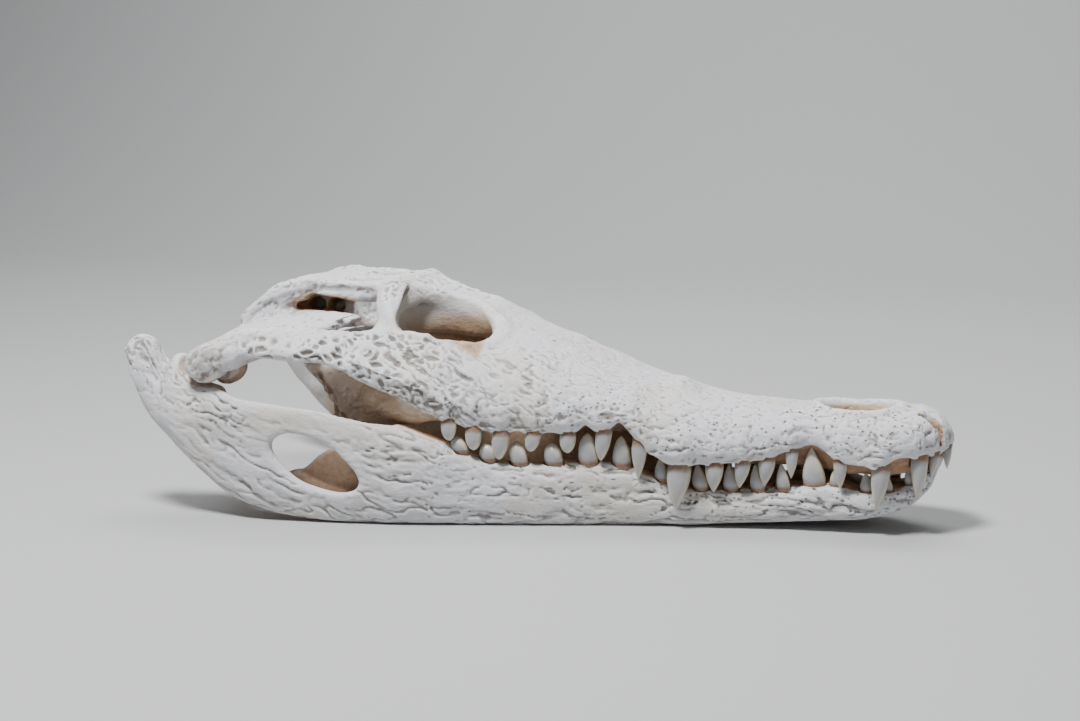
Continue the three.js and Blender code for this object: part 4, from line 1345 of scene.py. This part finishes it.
class Value:
    """A socket that can be used in arithmetic: each operation adds one node to its tree."""

    def __init__(self, recipe, socket):
        self.recipe, self.socket = recipe, socket

    def math(self, operation, *others):
        """One Math node on this value and others."""
        return self.recipe.node("ShaderNodeMath", {"operation": operation}, self, *others)

    def __add__(self, other):
        return self.math("ADD", other)

    def __sub__(self, other):
        return self.math("SUBTRACT", other)

    def __rsub__(self, other):
        return self.recipe.node("ShaderNodeMath", {"operation": "SUBTRACT"}, other, self)

    def __mul__(self, other):
        return self.math("MULTIPLY", other)

    __radd__, __rmul__ = __add__, __mul__

    def step(self, edge, soft, low, high):
        """`low` under the edge and `high` above edge + soft, with a soft S between."""
        return self.recipe.node("ShaderNodeMapRange", {"interpolation_type": "SMOOTHSTEP"},
                                self, edge, edge + soft, low, high)

    def below(self, edge, soft):
        """1 under the edge and 0 above edge + soft."""
        return self.step(edge, soft, 1.0, 0.0)

    def above(self, edge, soft):
        """0 under the edge and 1 above edge + soft."""
        return self.step(edge, soft, 0.0, 1.0)


print("shader values ready")

# %% [markdown]
# ## A recipe for a material
#
# A recipe holds a material and adds nodes to it by one method, which takes the kind
# of node, its settings and its inputs. Noise and cells get their size in millimetres
# and read the object's own coordinates, so a pattern stays on the bone when the
# camera moves.

# %% A class for recipes


class Recipe:
    """A material and the nodes that make it."""

    def __init__(self, name):
        self.material = bpy.data.materials.new(name)
        self.material.use_nodes = True
        self.tree = self.material.node_tree
        self.surface = self.tree.nodes["Principled BSDF"]
        self.place = Value(self, self.tree.nodes.new("ShaderNodeTexCoord").outputs["Object"])

    def put(self, socket, value):
        """Connects a value to a socket, or sets a constant on the socket itself."""
        if isinstance(value, Value):
            self.tree.links.new(value.socket, socket)
        elif isinstance(value, tuple) and len(value) == 3 and socket.type == "RGBA":
            socket.default_value = (*value, 1)
        else:
            socket.default_value = value

    def node(self, kind, settings, *inputs, output=0, **named):
        """Adds a node of a kind, with settings, inputs in order and inputs by name."""
        made = self.tree.nodes.new(kind)
        for setting, value in settings.items():
            setattr(made, setting, value)
        for socket, value in zip(made.inputs, inputs):
            self.put(socket, value)
        for title, value in named.items():
            self.put(made.inputs[title], value)
        return Value(self, made.outputs[output])

    def attribute(self, name):
        """A measure that the mesh carries for each of its points."""
        return self.node("ShaderNodeAttribute", {"attribute_name": name}, output="Fac")

    def pattern(self, kind, size, stretch, **named):
        """A texture node whose features are about `size` mm, in a space scaled by `stretch`."""
        at = self.node("ShaderNodeMapping", {}, Vector=self.place, Scale=stretch)
        return self.node(kind, {}, Vector=at, Scale=MM_PER_METRE / size, **named)

    def noise(self, size, detail=3.0, stretch=(1, 1, 1), rough=0.5):
        """Noise from 0 to 1, with finer noise added `detail` times at a strength of `rough`."""
        return self.pattern("ShaderNodeTexNoise", size, stretch, Detail=detail, Roughness=rough)

    def cell(self, size, stretch=(1, 1, 1)):
        """Distance to the nearest of scattered centres, in widths of a cell."""
        return self.pattern("ShaderNodeTexVoronoi", size, stretch)

    def mix(self, share, first, second):
        """A colour between two, by a share from 0 to 1."""
        made = self.tree.nodes.new("ShaderNodeMix")
        made.data_type = "RGBA"
        self.put(made.inputs[0], share)
        self.put(made.inputs[6], first)
        self.put(made.inputs[7], second)
        return Value(self, made.outputs[2])

    def bump(self, height, strength=1.0):
        """A normal tilted by a height from 0 to 1, which stands for one millimetre."""
        return self.node("ShaderNodeBump", {}, Height=height, Distance=MM, Strength=strength)

    def finish(self, **inputs):
        """Feeds the surface's inputs, written as base_color for Base Color, and returns the material."""
        for title, value in inputs.items():
            self.put(self.surface.inputs[title.replace("_", " ").title().replace("Ior", "IOR")], value)
        return self.material


print("recipes ready")

# %% [markdown]
# ## Bone
#
# Cleaned bone is a cool near-white with cream where fat has stayed in it. The pits
# keep grey-brown dust with painted shade, darkest in the deepest; the hollows are
# orange-brown, partly stain and partly painted shade; creases get painted shade and
# ridges a painted highlight; and tiny dark holes for nerves stand in loose rows above
# and below the teeth. An image could carry all this, but mixing the colours by masks
# keeps each cause apart. The finest fibres and pores are a bump, because they are
# smaller than any triangle.

# %% Bone materials
WHITE, CREAM, RIDGE_HIGHLIGHT = (0.60, 0.605, 0.635), (0.60, 0.545, 0.44), (0.74, 0.74, 0.755)
# DUST_AND_SHADE and DEEP_DUST_AND_SHADE: grey-brown dust in the pits together with painted shade, the second
# for the deepest pits
SHADE, DUST_AND_SHADE, DEEP_DUST_AND_SHADE = (0.31, 0.285, 0.27), (0.16, 0.13, 0.105), (0.07, 0.052, 0.04)
BUFF, UMBER, PEAT = (0.46, 0.29, 0.15), (0.30, 0.13, 0.045), (0.05, 0.027, 0.016)
NERVE_HOLE = (0.12, 0.085, 0.065)
BONE_MASKS = ("pits", "hollow", "dirt", "holes", "slits", "crevice")


def bone(name, warmth):
    """Bone: white and cream, pits with dust and painted shade, hollows brown with stain and painted shade,
    painted shade in creases and a painted highlight on ridges, dark nerve holes and slits, fine fibres.
    """
    r = Recipe(name)
    pits, hollow, dirt, holes, slits, crevice_share = (r.attribute(mask) for mask in BONE_MASKS)
    broad, fine, fibre = r.noise(45, 4), r.noise(3.0, 5, rough=0.65), r.noise(1.1, 4, (0.22, 1, 1), 0.6)
    cream = (broad + 0.35 * fine).above(0.62 - warmth, 0.28)
    colour = r.mix(cream * 0.62, WHITE, CREAM)
    # painted shade together with real stain: the hollow mask, read from how enclosed the bone is, browns the
    # hollows, partly as dried gristle and partly as the shade that gathers there; the deepest get umber
    stain_and_shade = (hollow * (0.72 + 0.9 * broad)).above(0.18, 0.62)
    colour = r.mix(stain_and_shade * 0.8, colour, BUFF)
    deep = (hollow * (0.5 + fine)).above(0.62, 0.5)
    colour = r.mix(deep * 0.7, colour, UMBER)
    # painted shade with dust: the pits are darkened by their depth, partly as dust and partly as the shade
    # that falls in them, the deepest darkest
    dust_and_shade = (pits * (0.6 + 0.8 * fine)).above(0.12, 0.75) * (1.0 - 0.8 * hollow)
    colour = r.mix(dust_and_shade * 0.85, colour, DUST_AND_SHADE)
    colour = r.mix((pits * (0.5 + fine)).above(1.1, 1.3) * 0.75, colour, DEEP_DUST_AND_SHADE)
    # the dirt mask is dark dirt round the roots and on torn edges, and on the jaw also painted shade in the
    # joint
    colour = r.mix((dirt * (0.6 + 0.8 * fine)).above(0.15, 0.6) * 0.9, colour, r.mix(fine, PEAT, UMBER))
    open_air = 1.0 - 0.85 * hollow
    colour = r.mix(crevice_share.above(0.52, 0.4) * (0.35 + 0.9 * fine) * open_air, colour, SHADE)
    # painted highlight: ridges, where the crevice measure is low, are lightened to a brighter bluish white
    colour = r.mix(crevice_share.below(0.12, 0.36) * 0.6 * open_air, colour, RIDGE_HIGHLIGHT)
    dots = r.cell(3.9).below(0.13, 0.12) * holes
    cracks = r.cell(4.6, (0.3, 1, 1)).below(0.08, 0.1) * slits
    dark = dots.math("MAXIMUM", cracks)
    colour = r.mix(dark * 0.62, colour, NERVE_HOLE)
    colour = r.mix((1.0 - fibre).above(0.52, 0.2) * 0.16, colour, DUST_AND_SHADE)
    pores = r.cell(0.9).below(0.12, 0.25)
    height = 0.5 * fine + 0.28 * fibre - 0.22 * pores * broad - dark
    return r.finish(base_color=colour, roughness=0.5 + 0.2 * fine + 0.1 * dust_and_shade, specular_ior_level=0.35,
                    normal=r.bump(height))


print("bone masks:", BONE_MASKS)

# %% [markdown]
# ## Enamel
#
# A tooth is denser and glossier than bone. Its core looks bluish grey, its keels and
# tip are cream where the enamel is thick, and the root is stained brown. Fine growth
# rings run round it. The two masks, up and keel, come with the shape of the tooth,
# so the colours follow every tooth however it stands.

# %% Enamel
CORE, IVORY, RING, STAIN, FLAW = (
    (0.33, 0.335, 0.36), (0.60, 0.56, 0.465), (0.42, 0.36, 0.27), (0.22, 0.11, 0.05), (0.30, 0.20, 0.12))


def enamel(name):
    """Tooth: a bluish-grey core with cream keels and tip, brown at the root, in fine growth rings."""
    r = Recipe(name)
    up, keel = r.attribute("up"), r.attribute("keel")
    fine, broad = r.noise(1.6, 4), r.noise(14, 2)
    rings = r.noise(1.3, 3, (0.12, 0.12, 1))
    colour = r.mix((keel + 0.8 * up + 0.5 * broad).above(0.5, 0.8), CORE, IVORY)
    colour = r.mix(rings.above(0.5, 0.2) * up.below(0.25, 0.5) * 0.5, colour, RING)
    colour = r.mix(up.below(-0.02, 0.2) * (0.35 + fine), colour, STAIN)
    flaws = r.noise(1.0, 2, (1, 1, 0.12)).above(0.66, 0.06) * 0.35
    colour = r.mix(flaws, colour, FLAW)
    return r.finish(base_color=colour, roughness=0.26 + 0.16 * fine, coat_weight=0.15, coat_roughness=0.25,
                    normal=r.bump(0.12 * rings + 0.06 * fine, 0.6))


skull_bone = bone("dry bone", 0.0)
jaw_bone = bone("dry bone of the jaw", 0.04)
tooth_enamel = enamel("tooth enamel")
print([material.name for material in (skull_bone, jaw_bone, tooth_enamel)])

# %% [markdown]
# ## The bones in place
#
# Masks say where each finish belongs: nerve holes on the snout's sides and the
# jaw's front, slits along the lips, brown stain and painted shade in whatever is
# enclosed, and the darkest dirt in the gums round every root.

# %% Cranium
SNOUT_MIDDLE = 50  # height between the mouth's roof and the outer face of the snout
UPPER_ROW = [np.concatenate(parts) for parts in zip(upper_places(1), upper_places(-1))]


def gum_dirt(points, places, reach):
    """1 at each tooth's root, falling off over `reach` times the tooth's half width."""
    roots, _, widths, _ = places
    dirt = np.zeros(len(points))
    for root, width in zip(roots, widths):
        near = np.abs(points - root).max(1) < 1.6 * width
        away = np.linalg.norm((points[near] - root) / [1, 1, 0.9], axis=1) / (width / 2)
        dirt[near] = np.maximum(dirt[near], smooth(away, reach, 0.9))
    return dirt


def gums(points, places, reach, open_air):
    """Dirt round all the roots: wide where the skin isn't in the open air, and narrow all round."""
    return np.maximum(gum_dirt(points, places, reach) * open_air, 0.8 * gum_dirt(points, places, 1.25))


def cranium_hollow(points, facing):
    """Brown stain with painted shade, 0 to 1: enclosed bone, the mouth, behind the cheek, eye socket, joint,
    nose and tip hole.
    """
    x, y, z = folded(points)
    outward = sideways(points, facing)
    mouth = smooth(face_side(x, z) - y, 3, 8) * (z < face_margin(x) + 12) * smooth(x, -88, -36)
    deep = cheek_low[0](x) - 6 - y
    deep = deep + (face_side(x, z) - y - deep) * smooth(x, FACE[0], FACE[0] + 20)
    behind = smooth(deep, 6, 12) * smooth(z, 108, 102) * smooth(x, -164, -150) * smooth(x, -30, -40)
    socket = smooth(z, 134, 106) * smooth(x, -96, -88) * smooth(x, -24, -30) * smooth(y, 66, 58)
    socket *= 0.5 + 0.4 * smooth(x, -84, -58)
    # painted shade: the inner knuckle under the arch is browned for the shade it sits in
    knuckle_shade = smooth(x, -164, -170) * smooth(y, 96, 90) * smooth(z, 104, 98)
    bowl = np.hypot((x - NOSTRIL["x"]) / NOSTRIL["length"], y / NOSTRIL["width"])
    slit = np.hypot((x - TIP_HOLE["x"]) / TIP_HOLE["length"], (y - TIP_HOLE["y"]) / TIP_HOLE["width"])
    # the brown here is partly stain and partly painted shade: enclosed bone, the inside of the mouth, the gap
    # behind the cheek and the eye socket are browned where little light reaches
    return np.maximum.reduce([
        enclosure(points, facing) * smooth(outward, 0.95, 0.5),
        0.95 * mouth, 0.58 * behind, socket, 0.8 * knuckle_shade,
        smooth(bowl, 0.56, 0.46) * smooth(z, 76, 67) * 0.85 * (z > SNOUT_MIDDLE),
        smooth(slit, 0.62, 0.5) * (z > SNOUT_MIDDLE)])


def cranium_piece():
    """The cranium with every mask that its bone material reads."""
    points, facing = cranium_points, normals(cranium_points, cranium_quads)
    x, y, z = folded(points)
    outward, above_lip = sideways(points, facing), z - face_margin(x)
    sides = smooth(x, -10, 30) * smooth(outward, 0.15, 0.5) * smooth(above_lip, 2, 7)
    on_top = 0.5 * smooth(facing[:, 2], 0.6, 0.9) * smooth(x, 120, 160)
    slits = smooth(x, -90, -60) * smooth(outward, 0.2, 0.5) * smooth(above_lip, 15, 9)
    torn = ragged(points) * smooth(ripple(points, 6, 11), -0.5, 0.1)
    from_roller = np.hypot((x + 187) / 16, (z - 96) / 13)
    soiled = smooth(from_roller, 1.2, 0.5) * smooth(ripple(points, 7, 12, 2), -0.7, 0.5)
    return piece("skull", points, cranium_quads, "cranium", "bone", skull_bone,
                 pits=(ornament / 1.7) ** 1.3 + 0.6 * soiled,
                 hollow=cranium_hollow(points, facing),
                 dirt=np.maximum(gums(points, UPPER_ROW, 1.7, smooth(outward, 0.55, 0.1)), 0.75 * torn),
                 holes=sides * smooth(above_lip, 34, 22) + on_top,
                 slits=slits * smooth(above_lip, 0, 3),
                 crevice=crevice(points, cranium_quads, facing))


skull = cranium_piece()
print("skull:", lighten(skull), "triangles before thinning")

# %% [markdown]
# ## The lower jaw in place
#
# The jaw gets the same masks from its own measures: brown inside the trough and
# behind the teeth, partly stain and partly painted shade; dust with painted shade in
# the grooves and on the front, dust on the knob at the rear and painted shade in the
# joint; nerve holes below the front teeth. One function makes both halves, because
# only the side and the chances differ.

# %% Lower jaw


def jaw_piece(side, node):
    """One half of the lower jaw with its masks."""
    points, quads = jaw_skins[side]
    facing = normals(points, quads)
    x, y, z = folded(points)
    outward, enclosed = sideways(points, facing), enclosure(points, facing)
    inside, edge = jaw_outer(x) - y, jaw_top(x) - z
    # hollow: brown that is partly stain and partly painted shade, in enclosed places, on the inward faces at
    # the back, behind the teeth and in the trough
    hollow = np.maximum.reduce([
        enclosed * smooth(outward, 0.7, 0.2),
        0.8 * smooth(outward, 0.1, -0.4) * smooth(x, -205, -185),
        0.85 * smooth(inside, 5, 9) * smooth(x, -60, -50) * (edge < 8),
        0.8 * smooth(inside, 4, 10) * smooth(x, -70, -90) * smooth(x, -195, -180)])
    joint = smooth(np.hypot(x + 198, z - 92), 24, 14)
    soiled = smooth(z - 0.5 * x, 200, 222) * smooth(ripple(points, 8, 17, 2), -0.5, 0.5)
    # darker patches on the jaw's front, partly dirt and partly painted shade
    front_dirt_and_shade = smooth(x, 40, 100) * smooth(ripple(points, 12, 19, 2), -0.5, 0.6)
    # painted shade: the enclosed skin of the jaw's joint is darkened with the dirt colour, for the shade in
    # the gap under the roller
    joint_shade = 0.45 * joint * smooth(enclosed, 0.3, 0.9)
    front = smooth(outward, 0.2, 0.5)
    return piece(node.replace("mandible", "lower_jaw"), points, quads, node, "jaw_bone", jaw_bone,
                 pits=(jaw_depths[side] / 2.7) ** 1.4 + 0.6 * soiled + 0.22 * front_dirt_and_shade,
                 hollow=hollow * (1 - 0.8 * joint),
                 dirt=np.maximum(gums(points, lower_places(side), 1.8, smooth(outward, 0.6, 0.1)), joint_shade),
                 holes=smooth(x, 60, 90) * front * smooth(edge, 0, 3) * smooth(edge, 15, 9),
                 slits=smooth(x, -60, -20) * front * smooth(edge, 3, 7) * smooth(z, 3, 8),
                 crevice=crevice(points, quads, facing))


lower_jaws = [jaw_piece(1, "mandible_left"), jaw_piece(-1, "mandible_right")]
print("half a jaw:", [lighten(half) for half in lower_jaws], "triangles")

# %% [markdown]
# ## The teeth in place
#
# A row of teeth is one mesh, because it belongs to one bone. Every tooth is a closed
# skin of its own, set a little way into its socket. Along with the points go the two
# measures that the enamel reads.

# %% Teeth in place


def teeth_piece(name, places, node, slot):
    """All teeth of a row as one mesh, with how far up the tooth and how near a keel each point is."""
    points, faces, up, keel, count = [], [], [], [], 0
    for rings, t in tooth_row(places):
        skin_points, quads, caps = closed(rings)
        points.append(skin_points)
        faces += (quads + count).tolist() + (caps + count).tolist()
        up.append(np.append(t.ravel(), [t.min(), 1]))
        across = np.abs(np.cos(np.linspace(0, 2 * np.pi, ROUND_STEPS, endpoint=False))) ** 3
        keel.append(np.append(np.broadcast_to(across, t.shape).ravel(), [0, 1]))
        count += len(skin_points)
    return piece(name, np.vstack(points), faces, node, slot, tooth_enamel,
                 up=np.concatenate(up), keel=np.concatenate(keel))


teeth_piece("upper_teeth", UPPER_ROW, "cranium", "bone")
teeth_piece("lower_teeth_left", lower_places(1), "mandible_left", "jaw_bone")
teeth_piece("lower_teeth_right", lower_places(-1), "mandible_right", "jaw_bone")
print("teeth placed")

# %% [markdown]
# ## Floor
#
# A pale card, as on a photographer's table. It turns up behind in a quarter circle,
# so that no horizon line shows. A plane and a bevelled wall would do as well, but
# one profile with an arc in it is shorter.

# %% Floor
FLOOR_REACH, BACK, SWEEP = 9.0, 1.3, 1.6  # half the width, start and radius of the upturned back, metres
FLOOR_COLOUR = (0.42, 0.425, 0.43)


def floor_piece():
    """Pale card: flat, then a quarter circle up behind, (y, z) = (back + r sin a, r - r cos a)."""
    angle = np.linspace(0, np.pi / 2, 24)
    y = np.concatenate([[-FLOOR_REACH], BACK + SWEEP * np.sin(angle), [BACK + SWEEP]])
    z = np.concatenate([[0], SWEEP - SWEEP * np.cos(angle), [FLOOR_REACH]])
    points = [np.stack([side + 0 * y, y, z], 1) for side in (-FLOOR_REACH, FLOOR_REACH)]
    count = len(y)
    i = np.arange(count - 1)
    mesh = bpy.data.meshes.new("floor")
    mesh.from_pydata(np.vstack(points), [], np.stack([i, i + count, i + count + 1, i + 1], 1).tolist())
    mesh.polygons.foreach_set("use_smooth", np.ones(len(mesh.polygons), bool))
    card = Recipe("pale card")
    mesh.materials.append(card.finish(base_color=FLOOR_COLOUR, roughness=0.85))
    thing = bpy.data.objects.new("floor", mesh)
    bpy.context.scene.collection.objects.link(thing)
    return thing


print("floor:", len(floor_piece().data.polygons), "faces")

# %% [markdown]
# ## Light
#
# Four square panels: a small strong one above and in front, a wide weak one from the
# front right, one from behind for the upper edges, and one that washes the back of
# the card. A little light from all around keeps the hollows readable. A small panel
# gives firmer shadows than a wide one, and the pits need them to be seen.

# %% Lights
AROUND_LIGHT, AROUND_COLOUR = 0.14, (0.86, 0.88, 0.90, 1)
MIDDLE, BACKDROP = (0, 0, 0.06), (0, 2.9, 1.0)  # where the panels face
# place, aim, width in metres and power in watts
LIGHTS = {
    "main": ((-0.2, -0.55, 1.35), MIDDLE, 0.3, 37),
    "fill": ((1.2, -1.6, 0.7), MIDDLE, 1.2, 3),
    "back": ((0.2, 0.7, 1.9), MIDDLE, 1.2, 20),
    "wash": ((-0.4, 1.2, 2.4), BACKDROP, 1.8, 55),
}


def light(name, place, aim, width, power):
    """A square panel `width` metres wide at a place, turned to an aim."""
    lamp = bpy.data.lights.new(name, "AREA")
    lamp.size, lamp.energy = width, power
    thing = bpy.data.objects.new(name, lamp)
    thing.location = place
    thing.rotation_euler = (Vector(aim) - Vector(place)).to_track_quat("-Z", "Y").to_euler()
    bpy.context.scene.collection.objects.link(thing)


for name, (place, aim, width, power) in LIGHTS.items():
    light(name, place, aim, width, power)
world = bpy.data.worlds.new("studio")
world.use_nodes = True
around = world.node_tree.nodes["Background"]
around.inputs["Color"].default_value = AROUND_COLOUR
around.inputs["Strength"].default_value = AROUND_LIGHT
bpy.context.scene.world = world
print(len(LIGHTS), "lamps")

# %% [markdown]
# ## Camera
#
# The camera stands on the skull's right, a little towards the snout and a little
# above it, and looks back and down. Its direction is written as two angles, because
# they can be read off a tripod, and Blender turns the direction into a rotation.

# %% Camera
CAMERA_AT = (0.3345, -1.0509, 0.262)  # metres
TURN, DOWN = np.radians(18), np.radians(8.8)
FOCAL_LENGTH = 58.333  # mm, on a sensor 36 mm wide

lens = bpy.data.cameras.new("camera")
lens.lens = FOCAL_LENGTH
camera = bpy.data.objects.new("camera", lens)
camera.location = CAMERA_AT
ahead = Vector((-np.sin(TURN) * np.cos(DOWN), np.cos(TURN) * np.cos(DOWN), -np.sin(DOWN)))
camera.rotation_euler = ahead.to_track_quat("-Z", "Y").to_euler()
bpy.context.scene.collection.objects.link(camera)
bpy.context.scene.camera = camera
print("camera", round(camera.location.length, 2), "m from the middle of the skull's foot")
